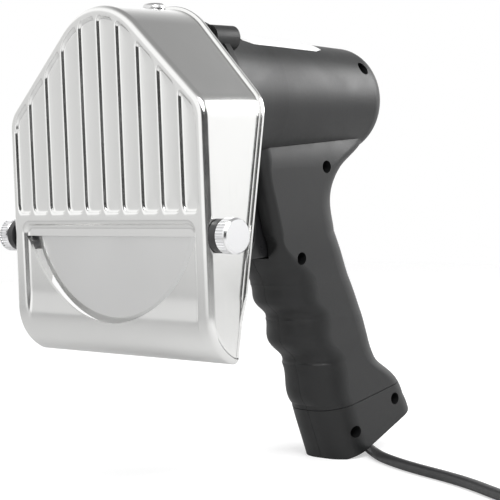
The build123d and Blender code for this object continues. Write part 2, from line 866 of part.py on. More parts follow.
def field_magnets():
    """Two curved magnets inside the can."""
    outer = can_radius - can_wall - touch
    start = core_start - (magnet_length - core_length) / 2
    end = start + magnet_length
    ring = ring_y(outer, outer - magnet_thickness, start, end, 0, motor_height)
    halves = []
    for side in (1, -1):
        keep = block(-can_radius, can_radius, start - overrun, end + overrun,
                     motor_height + side * magnet_thickness, motor_height + side * can_radius)
        halves.append(solid_of(ring & keep))
    return Compound(halves)


def motor_shaft():
    """Motor shaft from the pinion to the fan."""
    body = rod_y(shaft_radius, shaft_front, shaft_end, 0, motor_height)
    return solid_of(chamfer(body.edges().filter_by(GeomType.CIRCLE), shaft_radius / 6))


def armature_core():
    """Slotted lamination stack."""
    body = rod_y(core_radius, core_start, core_start + core_length, 0, motor_height)
    for index in range(core_slots):
        angle = 360 / core_slots * index
        slot = block(-slot_width / 2, slot_width / 2, core_start - overrun, core_start + core_length + overrun,
                     core_radius - slot_depth, core_radius + overrun)
        body = body - Pos(0, 0, motor_height) * Rot(0, angle, 0) * slot
    return solid_of(body - rod_y(shaft_radius, core_start - overrun, core_start + core_length + overrun,
                                 0, motor_height))


def armature_winding():
    """Rounded end turns at both ends of the stack."""
    ends = []
    for start in (core_start - winding_length, core_start + core_length):
        body = ring_y(winding_radius, shaft_radius, start, start + winding_length, 0, motor_height)
        rims = [edge for edge in body.edges().filter_by(GeomType.CIRCLE) if edge.radius > shaft_radius * 2]
        ends.append(solid_of(fillet(rims, winding_length * 0.4)))
    return Compound(ends)


commutator_start = core_start + core_length + winding_length + seam_gap


def commutator():
    """Copper segments on the shaft."""
    body = ring_y(commutator_radius, shaft_radius, commutator_start, commutator_start + commutator_length,
                  0, motor_height)
    for index in range(core_slots):
        cut = block(-seat_gap, seat_gap, commutator_start - overrun, commutator_start + commutator_length * 0.9,
                    commutator_radius * 0.8, commutator_radius + overrun)
        body = body - Pos(0, 0, motor_height) * Rot(0, 360 / core_slots * index, 0) * cut
    return solid_of(body)


def motor_end_bell():
    """Plastic end bell with two brush holders and the rear bearing seat."""
    wall = can_wall * 2
    body = rod_y(can_radius, can_back + touch, bell_back, 0, motor_height)
    body = body - rod_y(bell_inner_radius, can_back - overrun, bell_back - wall, 0, motor_height)
    body = body + rod_y(bearing_radius + wall / 2, bell_back - bearing_length, bell_back, 0, motor_height)
    middle = commutator_start + commutator_length / 2
    half = brush_width / 2 + wall / 2
    for side in (1, -1):
        x0 = commutator_radius + seam_gap + brush_length * 0.2
        x1 = bell_inner_radius
        holder = block(side * x0, side * x1, middle - half, bell_back - touch, motor_height - half,
                       motor_height + half)
        body = body + holder
        body = body - block(side * (x0 - overrun), side * (x1 - wall / 2), middle - brush_width / 2 - running_gap,
                            middle + brush_width / 2 + running_gap, motor_height - brush_width / 2 - running_gap,
                            motor_height + brush_width / 2 + running_gap)
    body = body - rod_y(bearing_radius, bell_back - bearing_length - overrun, bell_back + overrun, 0, motor_height)
    return solid_of(body)


def carbon_brushes():
    """Two carbon blocks that rub on the commutator."""
    brushes = []
    middle = commutator_start + commutator_length / 2
    for side in (1, -1):
        x0 = commutator_radius + running_gap
        body = block(side * x0, side * (x0 + brush_length), middle - brush_width / 2, middle + brush_width / 2,
                     motor_height - brush_width / 2, motor_height + brush_width / 2)
        brushes.append(solid_of(body))
    return Compound(brushes)


def cooling_fan():
    """Radial fan at the tail of the shaft."""
    start = shaft_end - fan_length
    body = rod_y(fan_radius, start, start + fan_length / 6, 0, motor_height)
    body = body + rod_y(shaft_radius * 2, start, start + fan_length, 0, motor_height)
    for index in range(fan_blades):
        blade = block(-fan_length / 12, fan_length / 12, start, start + fan_length, shaft_radius, fan_radius)
        body = body + Pos(0, 0, motor_height) * Rot(0, 360 / fan_blades * index, 0) * blade
    return solid_of(body - rod_y(shaft_radius, start - overrun, start + fan_length + overrun, 0, motor_height))


# Handle shells

def grip_section(shares, inset):
    """One level cut of the grip: a long round-cornered shape."""
    level, front_share, back_share, width_share, front_corner, back_corner = shares
    z = level * grip_height
    front = front_share * grip_reach + inset
    back = back_share * grip_reach - inset
    half = width_share * grip_width - inset
    front_radius = max(front_corner * width_share * grip_width - inset, inset / 4)
    back_radius = max(back_corner * width_share * grip_width - inset, inset / 4)
    points = [(-half, front, z), (half, front, z), (half, back, z), (-half, back, z)]
    path = FilletPolyline(*points, radius=[front_radius, front_radius, back_radius, back_radius], close=True)
    return make_face(path)


def grip_loft(inset):
    """Smooth grip through its level cuts, in stretches that follow one another."""
    stretches = []
    for low, high in zip(grip_breaks, grip_breaks[1:]):
        rows = grip_section_shares[low:high + 1]
        stretches.append(loft([grip_section(row, inset) for row in rows]))
    body = stretches[0]
    for stretch in stretches[1:]:
        body = body + stretch
    return solid_of(body)


def barrel_solid(inset):
    """Tapered barrel with its domed tail."""
    points = []
    for share in (0, 0.12, 0.3, 0.55, 1):
        depth = flange_back + (barrel_root - flange_back) * share
        points.append((barrel_radius(depth) - inset, depth, 0))
    tail = barrel_tail_radius - inset
    dome = dome_length - inset
    edges = [
        Line((0, flange_back, 0), points[0]),
        Spline(*points),
        Line(points[-1], (tail, barrel_tail, 0)),
    ]
    quarter = EllipticalCenterArc((0, barrel_tail, 0), tail, dome, start_angle=0, arc_size=90)
    edges.append(quarter)
    edges.append(Line((0, barrel_tail + dome, 0), (0, flange_back, 0)))
    return Pos(0, 0, motor_height) * revolve(make_face(edges), Axis.Y)


def seam_height(depth, shift=0):
    """Height of the joint between the shells and the end cap."""
    front = grip_section_shares[3][1] * grip_reach
    return cap_seam_front + (depth - front) * cap_seam_slope + shift


def under_seam(shift):
    """Everything below the cap's joint plane."""
    low = -grip_height
    y0 = 0
    y1 = grip_reach * 2
    points = [(0, y0, low), (0, y1, low), (0, y1, seam_height(y1, shift)), (0, y0, seam_height(y0, shift))]
    return extrude(make_face(Polyline(*points, close=True)), amount=guard_width, both=True, dir=(1, 0, 0))


def screw_post(side, depth, height, inner_reach):
    """Boss from one shell's wall to the joint plane."""
    return rod_x(shell_boss_radius, side * seat_gap / 2, side * inner_reach, depth, height)


def trigger_frame(shape):
    """Place a piece drawn about the trigger's own axes."""
    return Pos(0, trigger_depth, trigger_height) * Rot(neck_lean, 0, 0) * shape


def trigger_opening():
    """Opening in the front of the neck."""
    half = trigger_width / 2 + opening_gap
    low = -opening_height - opening_gap * 2.2
    reach = opening_height
    points = [(0, -reach, opening_height), (0, reach * 0.9, opening_height), (0, reach * 0.9, low * 0.8),
              (0, trigger_back + opening_gap * 2, low), (0, -reach, low * 0.8)]
    face = make_face(Polyline(*points, close=True))
    return trigger_frame(extrude(face, amount=half, both=True, dir=(1, 0, 0)))


def handle_outer(grip):
    """Whole outside of the handle above the cap's joint."""
    return solid_of(solid_of(grip + barrel_solid(0)) - under_seam(0))


def handle_cavity(grip):
    """Hollow inside of the handle."""
    return solid_of(grip + barrel_solid(shell_wall))


def handle_half(outer, cavity, side):
    """One moulded half with its screw posts, motor ribs and the trigger opening."""
    reach = grip_width
    keep = block(side * seat_gap / 2, side * guard_width, 0, grip_reach * 2, -grip_height, grip_height * 2)
    posts = []
    for depth, height in shell_screw_places:
        posts.append(screw_post(side, depth, height, reach))
    for depth in (can_front + can_length * 0.3, can_front + can_length * 0.85):
        rib = ring_y(barrel_mouth_radius, can_radius + seat_gap, depth, depth + shell_wall, 0, motor_height)
        posts.append(rib & keep)
    inner = cavity
    for post in posts:
        inner = inner - post
    half = (outer - inner) & keep
    half = half - trigger_opening()
    for depth, height in shell_screw_places:
        half = half - rod_x(screw_radius + running_gap, -reach * side, side * (shell_boss_radius * 4), depth, height)
        if side > 0:
            half = half - rod_x(shell_hole_radius, shell_screw_seat, reach, depth, height)
    for x, z in ear_spots():
        half = half - rod_y(ear_radius + seat_gap, flange_back - overrun, flange_back + ear_length + seat_gap, x, z)
    return solid_of(half)


def shell_screws():
    """Screws from the right shell into the left one."""
    screws = []
    for depth, height in shell_screw_places:
        head = rod_x(screw_head_radius, shell_screw_seat, shell_screw_seat + screw_head_height, depth, height)
        shank = rod_x(screw_radius, -shell_boss_radius * 3, shell_screw_seat, depth, height)
        screws.append(solid_of(head + shank))
    return Compound(screws)


# End cap

def cap_sole(lift):
    """Everything below the cap's sole: level at the heel, then rising to the back."""
    front = cap_heel - cap_sole_edge * 6
    back = grip_reach * 1.1
    rise = cap_sole_slope * (back - cap_heel)
    foot = -grip_height * 0.1
    points = [(0, front, foot), (0, back, foot), (0, back, rise), (0, cap_heel, 0), (0, front, 0)]
    body = extrude(make_face(Polyline(*points, close=True)), amount=grip_width, both=True, dir=(1, 0, 0))
    return Pos(0, 0, lift) * body


def cap_outer(grip):
    """Outside of the cap, its sole edge rounded."""
    body = solid_of(grip & under_seam(-seam_gap))
    body = solid_of(body - cap_sole(0))
    soles = []
    for face in body.faces().filter_by(GeomType.PLANE):
        if face.normal_at().Z < -0.8:
            soles.append(face)
    counts = {}
    for face in soles:
        for edge in face.edges():
            spot = edge.center()
            key = (round(spot.X, 2), round(spot.Y, 2), round(spot.Z, 2))
            counts.setdefault(key, []).append(edge)
    edges = [group[0] for group in counts.values() if len(group) == 1]
    return body


def cap_inner(grip):
    """Hollow of the cap."""
    body = solid_of(grip & under_seam(overrun))
    return solid_of(body - cap_sole(cap_wall * 1.1))


def end_cap_half(outer, inner, side):
    """One half of the end cap."""
    keep = block(side * seat_gap / 2, side * guard_width, 0, grip_reach * 2, -grip_height, grip_height * 2)
    for depth, height in cap_screw_places:
        inner = inner - screw_post(side, depth, height, grip_width)
    inner = inner - clamp_pillar(side)
    half = (outer - inner) & keep
    for depth, height in cap_screw_places:
        half = half - rod_x(screw_radius + running_gap, -grip_width * side, side * shell_boss_radius * 4,
                            depth, height)
        if side > 0:
            half = half - rod_x(shell_hole_radius, shell_screw_seat, grip_width, depth, height)
    return solid_of(half - relief_hole())


def end_cap_screws():
    """Screws that close the cap."""
    screws = []
    for depth, height in cap_screw_places:
        head = rod_x(screw_head_radius, shell_screw_seat, shell_screw_seat + screw_head_height, depth, height)
        shank = rod_x(screw_radius, -shell_boss_radius * 3, shell_screw_seat, depth, height)
        screws.append(solid_of(head + shank))
    return Compound(screws)


# Trigger and switch

def trigger():
    """Hooked finger trigger with its stem."""
    half = trigger_width / 2
    top = opening_height - opening_gap
    sole = -opening_height - opening_gap * 0.4
    lip = sole + trigger_width * 0.2
    front = [(0, -top * 0.18, top), (0, -top * 0.25, top * 0.45), (0, -top * 0.21, -top * 0.2),
             (0, -top * 0.42, -top * 0.62), (0, -top * 0.76, lip + opening_gap)]
    edges = [Spline(*front)]
    edges.append(Line(front[-1], (0, -top * 0.78, lip - opening_gap)))
    edges.append(Line((0, -top * 0.78, lip - opening_gap), (0, trigger_back, sole - opening_gap * 0.6)))
    edges.append(Line((0, trigger_back, sole - opening_gap * 0.6), (0, trigger_back, -top * 0.5)))
    edges.append(Line((0, trigger_back, -top * 0.5), (0, trigger_back * 2, -top * 0.4)))
    edges.append(Line((0, trigger_back * 2, -top * 0.4), (0, trigger_back * 2, top)))
    edges.append(Line((0, trigger_back * 2, top), front[0]))
    body = extrude(make_face(edges), amount=half, both=True, dir=(1, 0, 0))
    side_edges = [edge for edge in body.edges()
                  if edge.bounding_box().size.X < touch and edge.center().Y < 0
                  and abs(edge.center().Z - top) > touch]
    body = fillet(side_edges, opening_gap * 0.85)
    stem = rod_y(stem_radius, trigger_back * 2 - touch, switch_front + plunger_reach)
    return trigger_frame(solid_of(body + stem))


def switch_body():
    """Switch block behind the trigger."""
    body = block(-switch_width / 2, switch_width / 2, switch_front, switch_front + switch_length,
                 -switch_height / 2, switch_height / 2)
    body = fillet(body.edges().filter_by(Axis.X), opening_gap)
    bore_end = switch_front + plunger_reach + trigger_pull + opening_gap
    body = body - rod_y(stem_radius + running_gap, switch_front - overrun, bore_end)
    pocket_radius = stem_radius + spring_wire * 2 + seat_gap * 3
    body = body - rod_y(pocket_radius, switch_front - overrun, switch_front + spring_pocket)
    tags = []
    for level in (1, -1):
        tag_x = switch_width * 0.25
        middle = level * switch_height * 0.3
        tags.append(block(-tag_x, tag_x, switch_front + switch_length - touch,
                          switch_front + switch_length + plunger_reach / 2, middle - opening_gap / 2,
                          middle + opening_gap / 2))
    for tag in tags:
        body = body + tag
    return trigger_frame(solid_of(body))


def trigger_spring():
    """Return spring on the stem."""
    radius = stem_radius + spring_wire + running_gap * 3
    length = switch_front + spring_pocket - trigger_back * 2 - spring_wire - seam_gap * 2
    path = Helix(pitch=length / spring_coils, height=length, radius=radius)
    start = Plane(origin=path @ 0, z_dir=path % 0)
    wire = sweep(start * Circle(spring_wire / 2), path=path)
    place = Pos(0, trigger_back * 2 + spring_wire / 2 + seam_gap, 0) * Rot(-90, 0, 0)
    return trigger_frame(place * solid_of(wire))


def rectifier_board():
    """Circuit board in the grip."""
    body = block(-board_thickness / 2, board_thickness / 2, -board_width / 2, board_width / 2,
                 -board_length / 2, board_length / 2)
    return board_frame(body)


def board_frame(shape):
    """Place a piece drawn about the board's middle."""
    return Pos(-grip_width * 0.349, grip_reach * 0.705, grip_height * 0.41) * Rot(neck_lean * 1.6, 0, 0) * shape


def board_parts():
    """Bridge, capacitor and choke on the board."""
    face = board_thickness / 2
    bridge = block(face, face + board_width * 0.16, -board_width * 0.38, board_width * 0.02,
                   board_length * 0.12, board_length * 0.42)
    capacitor = rod_x(board_width * 0.2, face, face + board_width * 0.4, board_width * 0.22, board_length * 0.05)
    choke = rod_x(board_width * 0.18, face, face + board_width * 0.22, -board_width * 0.18, -board_length * 0.28)
    return Compound([solid_of(board_frame(item)) for item in (bridge, capacitor, choke)])


# Cord and strain relief

sole_lean = degrees(atan2(cap_sole_slope, 1))
relief_height = cap_sole_slope * (relief_depth - cap_heel)


def relief_frame(shape):
    """Place a piece drawn about the cord's way out of the sole, inwards along its own Z."""
    return Pos(0, relief_depth, relief_height) * Rot(sole_lean, 0, 0) * shape


def relief_hole():
    """Hole in the cap's sole."""
    bore = Cylinder(relief_neck_radius + running_gap, cap_wall * 4)
    return relief_frame(bore)


def relief_station(share):
    """Centre and heading of the boot at a share of its bend."""
    turn = radians(relief_turn) * share
    down = Vector(0, sin(radians(sole_lean)), -cos(radians(sole_lean)))
    aim = Vector(*relief_aim_shares).normalized()
    side = (aim - down * aim.dot(down)).normalized()
    start = Vector(0, relief_depth, relief_height)
    spot = start + down * relief_bend * sin(turn) + side * relief_bend * (1 - cos(turn))
    return spot, (down * cos(turn) + side * sin(turn)).normalized()


# Way of the cord over the surface from the boot to the coil, points chosen along the shown cord
cord_route = (
    (7.4, 143.6), (12.6, 139.3), (19.2, 134.3), (27.6, 128.6), (37.6, 123.7), (49.6, 118.9),
    (63.4, 114.5), (78.4, 110.2), (94.4, 104.2), (109.0, 97.0), (123.4, 90.5), (138.4, 85.4),
)


def cord_points():
    """Boot tip, landing point and the way over the surface."""
    tip, way = relief_station(1)
    rest = cord_diameter / 2
    land = tip + way * ((tip.Z - rest) / -way.Z)
    return [tip, land] + [Vector(x, y, rest) for x, y in cord_route]


def cord_path(points):
    """Straight runs joined by tangent arcs, each as large as its runs allow."""
    radii = []
    for before, here, after in zip(points, points[1:], points[2:]):
        first = here - before
        second = after - here
        half_turn = radians(first.get_angle(second)) / 2
        radii.append(0.45 * min(first.length, second.length) / tan(half_turn))
    print("cord points", [(round(spot.X, 3), round(spot.Y, 3), round(spot.Z, 3)) for spot in points])
    print("cord radii", [round(radius, 1) for radius in radii])
    return FilletPolyline(*points, radius=radii)


def tube_along(path, diameter):
    """Round tube along a path."""
    start = Plane(origin=path @ 0, z_dir=path % 0)
    return solid_of(sweep(start * Circle(diameter / 2), path=path))


def power_cord():
    """Free stretch of the cord."""
    path = cord_path(cord_points())
    body = tube_along(path, cord_diameter)
    print("cord length", round(path.length, 1), "volume share",
          round(body.volume / (path.length * pi * cord_diameter ** 2 / 4), 4))
    return body


def coil_path():
    """Two layers of loops: in along the surface, up half a turn, and out again on top."""
    pitch = cord_diameter + cord_gap
    points = cord_points()
    end = points[-1]
    heading = (end - points[-2]).normalized()
    across = Vector(-heading.Y, heading.X, 0)
    low = end.Z
    rise = cord_diameter + cord_gap

    def place(along, side, height):
        return end + heading * along + across * side + Vector(0, 0, height - low)

    edges = []
    radius = coil_inner_radius + coil_turns * pitch
    centre = radius
    sign = 1
    lead = cord_diameter
    edges.append(Line(place(0, 0, low), place(lead, 0, low)))
    height = low
    for index in range(coil_turns * 2):
        begin = place(lead, centre - sign * radius, height)
        middle = place(lead + sign * radius, centre, height)
        finish = place(lead, centre + sign * radius, height)
        edges.append(ThreePointArc(begin, middle, finish))
        smaller = radius - pitch / 2
        centre = centre + sign * (radius - smaller)
        radius = smaller
        sign = -sign
    reach = sqrt(radius ** 2 + rise ** 2 / 4)
    begin = place(lead, centre - sign * radius, height)
    middle = place(lead + sign * reach, centre, height + rise / 2)
    finish = place(lead, centre + sign * radius, height + rise)
    first = TangentArc(begin, middle, tangent=heading * sign)
    edges.append(first)
    edges.append(TangentArc(middle, finish, tangent=first % 1))
    height = height + rise
    sign = -sign
    for index in range(coil_turns * 2 - 1):
        larger = radius + pitch / 2
        centre = centre + sign * (larger - radius)
        radius = larger
        begin = place(lead, centre - sign * radius, height)
        middle = place(lead + sign * radius, centre, height)
        finish = place(lead, centre + sign * radius, height)
        edges.append(ThreePointArc(begin, middle, finish))
        sign = -sign
    last = place(lead, centre + (-sign) * radius, height)
    tail = last + heading * sign * coil_tail
    edges.append(Line(last, tail))
    return edges, tail, heading * sign


def coil_gap(edges):
    """Least gap of the wound tube to itself, measured on points."""
    spots = []
    travelled = 0
    for edge in edges:
        steps = max(int(edge.length / 3), 1)
        for index in range(steps):
            spots.append((travelled + edge.length * index / steps, edge @ (index / steps)))
        travelled += edge.length
    least = min((a[1] - b[1]).length for i, a in enumerate(spots) for b in spots[i + 1:]
                if b[0] - a[0] > cord_diameter * 4)
    return least - cord_diameter


def cord_coil():
    """The cord that the view does not reach, put away in a neat coil."""
    edges, tail, way = coil_path()
    wire = Wire(edges)
    print("coil length", round(wire.length, 1), "least gap", round(coil_gap(edges), 2))
    return tube_along(wire, cord_diameter)


def strain_relief():
    """Rubber boot: a root in the cap, a neck through the sole and a ringed tip that bends with the cord."""
    upright = (Align.CENTER, Align.CENTER, Align.MIN)
    root = Pos(0, 0, cap_wall * 1.1 + seat_gap) * Cylinder(relief_root_radius, relief_root_length, align=upright)
    neck = Cylinder(relief_neck_radius, cap_wall * 1.1 + seat_gap * 2, align=upright)
    stations = []
    count = 6
    for index in range(count + 1):
        share = index / count
        spot, aim = relief_station(share)
        radius = relief_neck_radius + (relief_tip_radius - relief_neck_radius) * share
        stations.append((spot, aim, radius))
    boot = loft([Plane(origin=spot, z_dir=aim) * Circle(radius) for spot, aim, radius in stations])
    body = relief_frame(root + neck) + boot
    for index in (3, 6):
        spot, aim, radius = stations[index]
        ring = Cylinder(radius + relief_ring_height, relief_ring_height * 2, align=(Align.CENTER, Align.CENTER, Align.MAX))
        ring = fillet(ring.edges().filter_by(GeomType.CIRCLE), relief_ring_height * 0.6)
        body = body + Plane(origin=spot, z_dir=aim).location * ring
    return solid_of(body)


def clamp_height():
    """Height of the clamp's middle above the sole, along the boot."""
    return cap_wall * 1.1 + relief_root_length * 0.6


def clamp_pillar(side):
    """Block on the side wall that takes one clamp screw."""
    body = block(side * (relief_root_radius + seat_gap), side * grip_width, -relief_root_radius,
                 relief_root_radius * 0.6, clamp_height() - clamp_width / 2, clamp_height() + clamp_width / 2)
    hole = Pos(side * clamp_reach, 0, clamp_height()) * rod_y(
        screw_radius + running_gap, -relief_root_radius - overrun, relief_root_radius + overrun)
    return relief_frame(body - hole)


def cord_clamp():
    """Bar across the boot inside the cap."""
    body = Pos(0, -relief_root_radius - clamp_thickness / 2 - touch, clamp_height()) * Box(
        clamp_reach * 2 + clamp_width, clamp_thickness, clamp_width)
    for side in (1, -1):
        body = body - Pos(side * clamp_reach, 0, clamp_height()) * rod_y(
            screw_radius + running_gap, -relief_root_radius * 3, relief_root_radius)
    return relief_frame(solid_of(body))


def clamp_screws():
    """Two screws that pull the clamp bar against the boot."""
    screws = []
    face = -relief_root_radius - clamp_thickness - touch
    for side in (1, -1):
        place = Pos(side * clamp_reach, 0, clamp_height())
        head = place * rod_y(screw_head_radius, face - screw_head_height, face)
        shank = place * rod_y(screw_radius, face, relief_root_radius * 0.5)
        screws.append(solid_of(relief_frame(head + shank)))
    return Compound(screws)


# Plug

def plug_place(shape):
    """Set the plug at the end of the coil's tail, its pins forward along the cord."""
    edges, tail, way = coil_path()
    turn = degrees(atan2(way.Y, way.X))
    return Pos(tail.X, tail.Y, tail.Z) * Rot(0, 0, turn) * shape


def mains_plug():
    """Flat moulded plug with a ribbed tapering boot."""
    half = plug_thickness / 2
    boot_end = plug_boot_length
    sections = []
    for share, width, height in ((0, 0.24, 0.56), (1, 0.34, 0.72)):
        plane = Plane(origin=(boot_end * share, 0, 0), x_dir=(0, 1, 0), z_dir=(1, 0, 0))
        sections.append(plane * RectangleRounded(plug_width * width, plug_thickness * height,
                                                 plug_thickness * height * 0.45))
    boot = loft(sections)
    body_sections = []
    for share, width, height in ((0, 0.36, 0.8), (0.35, 0.8, 1.0), (1, 1.0, 1.0)):
        plane = Plane(origin=(boot_end + plug_length * share, 0, 0), x_dir=(0, 1, 0), z_dir=(1, 0, 0))
        body_sections.append(plane * RectangleRounded(plug_width * width, plug_thickness * height,
                                                      plug_thickness * height * 0.4))
    body = loft(body_sections)
    return plug_place(solid_of(boot + body))


def plug_pins():
    """Two round pins."""
    pins = []
    start = plug_boot_length + plug_length
    for side in (1, -1):
        pin = rod_x(plug_pin_radius, start, start + plug_pin_length, side * pin_spacing / 2, 0)
        pin = fillet(pin.edges().group_by(Axis.X)[-1], plug_pin_radius / 2)
        pins.append(solid_of(plug_place(pin)))
    return Compound(pins)


def main():
    """Build every piece, set the origin under the middle of the slicer and write the files."""
    grip = grip_loft(0)
    hollow = grip_loft(shell_wall)
    outer = handle_outer(grip)
    cavity = handle_cavity(hollow)
    cap = cap_outer(grip)
    cap_room = cap_inner(hollow)
    knob = thumb_knob()
    washer = knob_washer()
    slicer = {
        "blade_guard": blade_guard(),
        "guard_top_screw": guard_top_screw(),
        "guard_guide_block": guard_guide_block(),
        "thumb_knob_right": knob,
        "thumb_knob_left": mirrored(knob),
        "knob_washer_right": washer,
        "knob_washer_left": mirrored(washer),
        "guard_carrier": guard_carrier(),
        "carrier_screws": carrier_screws(),
        "gearbox_cover": gearbox_cover(),
        "gearbox_case": gearbox_case(),
        "gearbox_screws": gearbox_screws(),
        "spindle_bush_front": bush_y(cover_front - cover_boss_height + seat_gap * 2 + seal_length, bush_length),
        "spindle_bush_rear": bush_y(case_back - case_wall + seat_gap, bush_length),
        "shaft_seal": shaft_seal(),
        "round_blade": round_blade(),
        "blade_spindle": blade_spindle(),
        "blade_screw": blade_screw(),
        "blade_gear": blade_gear(),
        "spindle_circlip": spindle_circlip(),
        "motor_flange": motor_flange(),
        "flange_screws": flange_screws(),
        "motor_can": motor_can(),
        "motor_bearings": motor_bearings(),
        "field_magnets": field_magnets(),
        "motor_end_bell": motor_end_bell(),
        "carbon_brushes": carbon_brushes(),
        "motor_shaft": motor_shaft(),
        "armature_core": armature_core(),
        "armature_winding": armature_winding(),
        "commutator": commutator(),
        "drive_pinion": drive_pinion(),
        "cooling_fan": cooling_fan(),
        "handle_shell_right": handle_half(outer, cavity, 1),
        "handle_shell_left": handle_half(outer, cavity, -1),
        "shell_screws": shell_screws(),
        "end_cap_right": end_cap_half(cap, cap_room, 1),
        "end_cap_left": end_cap_half(cap, cap_room, -1),
        "end_cap_screws": end_cap_screws(),
        "trigger": trigger(),
        "trigger_spring": trigger_spring(),
        "switch_body": switch_body(),
        "rectifier_board": rectifier_board(),
        "board_parts": board_parts(),
        "cord_clamp": cord_clamp(),
        "clamp_screws": clamp_screws(),
        "strain_relief": strain_relief(),
    }
    cord = {
        "power_cord": power_cord(),
        "cord_coil": cord_coil(),
        "mains_plug": mains_plug(),
        "plug_pins": plug_pins(),
    }
    boxes = [shape.bounding_box() for shape in slicer.values()]
    front = min(box.min.Y for box in boxes)
    rear = max(box.max.Y for box in boxes)
    floor = min(box.min.Z for box in boxes)
    print("front", round(front, 3), "rear", round(rear, 3), "floor", round(floor, 3))
    shift = Pos(0, -(front + rear) / 2, -floor)
    os.makedirs("parts", exist_ok=True)
    for name, shape in {**slicer, **cord}.items():
        export_step(shift * shape, "parts/" + name + ".step")


if __name__ == "__main__":
    main()
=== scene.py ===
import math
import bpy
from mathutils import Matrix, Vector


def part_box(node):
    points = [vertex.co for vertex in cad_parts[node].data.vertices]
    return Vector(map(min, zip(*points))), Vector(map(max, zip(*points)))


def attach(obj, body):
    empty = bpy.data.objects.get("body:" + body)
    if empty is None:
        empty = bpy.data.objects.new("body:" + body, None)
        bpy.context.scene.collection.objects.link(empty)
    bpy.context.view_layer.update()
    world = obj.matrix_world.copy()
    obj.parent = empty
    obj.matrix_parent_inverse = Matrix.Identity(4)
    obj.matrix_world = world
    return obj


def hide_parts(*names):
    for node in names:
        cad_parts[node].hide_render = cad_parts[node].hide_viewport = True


bl_info = {
    "name": "Electric kebab slicer looks",
    "version": (1, 0, 0),
    "blender": (4, 5, 0),
    "location": "3D View > Sidebar > Slicer",
    "description": "Finishes, lead, blank label and studio for the electric kebab slicer",
    "category": "Object",
}

import bmesh
import bpy
from bpy.props import (
    FloatProperty,
    FloatVectorProperty,
    IntProperty,
    PointerProperty,
)
from mathutils import Matrix, Vector

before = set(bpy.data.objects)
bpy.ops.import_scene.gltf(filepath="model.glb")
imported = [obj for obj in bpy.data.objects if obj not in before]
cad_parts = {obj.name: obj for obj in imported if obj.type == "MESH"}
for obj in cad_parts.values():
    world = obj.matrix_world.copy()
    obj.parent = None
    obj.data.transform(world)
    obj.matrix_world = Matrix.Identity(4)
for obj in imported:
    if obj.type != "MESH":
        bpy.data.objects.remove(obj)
MM = 0.001

# The ribbed plate's front face and the standing surface, found from the blade's box
BLADE_LOW, BLADE_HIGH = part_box("round_blade")
RIB_FACE = BLADE_LOW.y - 4.3 * MM
STAND = BLADE_LOW.z - 70.9 * MM


def at(x, y, z):
    """A point given in millimetres from the ribbed face and the standing surface."""
    return Vector((x * MM, y * MM + RIB_FACE, z * MM + STAND))


# Settings


def amount(name, description, default, **limits):
    """A number that the user can change."""
    return FloatProperty(name=name, description=description, default=default, **limits)


def length(name, description, default, **limits):
    """A length in metres."""
    return amount(name, description, default, unit="LENGTH", **limits)


def angle(name, description, degrees):
    """An angle, given here in degrees."""
    return amount(name, description, math.radians(degrees), subtype="ANGLE")


def colour(name, description, default):
    """A plain colour."""
    return FloatVectorProperty(name=name, description=description, default=default, subtype="COLOR", size=3)


class SLICER_PG_view(bpy.types.PropertyGroup):
    """Camera of the product view."""

    lens: amount("Lens", "Focal length of the camera", 107.83, min=20, unit="CAMERA")
    sensor: amount("Sensor", "Width of the camera's sensor", 36.0, min=5, unit="CAMERA")


class SLICER_PG_studio(bpy.types.PropertyGroup):
    """Lamps and surroundings."""

    surround: amount("Surround", "Brightness of the even surround on matt surfaces", 0.72, min=0)
    key_power: amount("Key lamp", "Power of the large lamp above the right front", 5.0, min=0, unit="POWER")
    rim_power: amount("Rim lamp", "Power of the lamp behind the handle", 3.0, min=0, unit="POWER")
    floor_lift: amount("Floor lift", "Light added to the floor towards white", 0.5, min=0, max=1)
    floor_size: length("Floor size", "Half width of the floor", 1.1, min=0.5)


class SLICER_PG_guard(bpy.types.PropertyGroup):
    """Pressed sheet guard."""

    half_width: length("Half width", "Half of the width", 0.0573)
    peak: length("Peak", "Height at which the two roof planes would meet", 0.20444)
    slope: angle("Slope", "Slope of the roof", 41.5)
    shoulder: length("Shoulder", "Radius of a shoulder", 0.012)
    crest: length("Crest", "Radius of the crest", 0.0318)
    edge: length("Edge", "Radius of the front edge", 0.0026)
    depth: length("Depth", "Depth of the rim at the shoulders", 0.0318)
    lean: angle("Lean", "Lean of the rim", 10.7)
    toe: length("Toe", "Height at which the front begins to turn back", 0.0765)
    toe_radius: length("Toe radius", "Radius of that turn", 0.02)
    sheet: length("Sheet", "Thickness of the sheet", 0.0012)
    pitch: length("Rib pitch", "Pitch of the raised ribs", 0.011)
    ribs: IntProperty(name="Ribs", description="Number of raised ribs", default=9, min=1)
    rib_crown: length("Rib crown", "Half width of a rib's flat crown", 0.00015)
    field_depth: length("Field depth", "Depth of the pressed fields between the ribs", 0.0011)
    field_dish: length("Field dish", "Extra depth in the middle of a field", 0.00018)
    field_foot: length("Field foot", "Height of a field's lower end", 0.1132)
    field_margin: length("Field margin", "Distance from the roof's edge to a field", 0.0036)
    field_side: length("Field side", "Half width over all the fields", 0.0537)
    field_corner: length("Field corner", "Corner radius of a field", 0.0027)
    field_press: length("Field bend", "Radius of the bends round a field", 0.0008, min=0.0002)
    panel_width: length("Panel width", "Width of the sunk panel's floor", 0.098)
    panel_top: length("Panel top", "Height of the sunk panel's floor", 0.1092)
    panel_depth: length("Panel depth", "Depth of the sunk panel", 0.0018)
    press: length("Press radius", "Radius of the pressed bends", 0.0018, min=0.0002)
    window_radius: length("Window radius", "Radius of the window's arc", 0.0538)
    window_centre: length("Window centre", "Height of that arc's centre", 0.126)
    window_top: length("Window top", "Height of the window's straight edge", 0.1056)


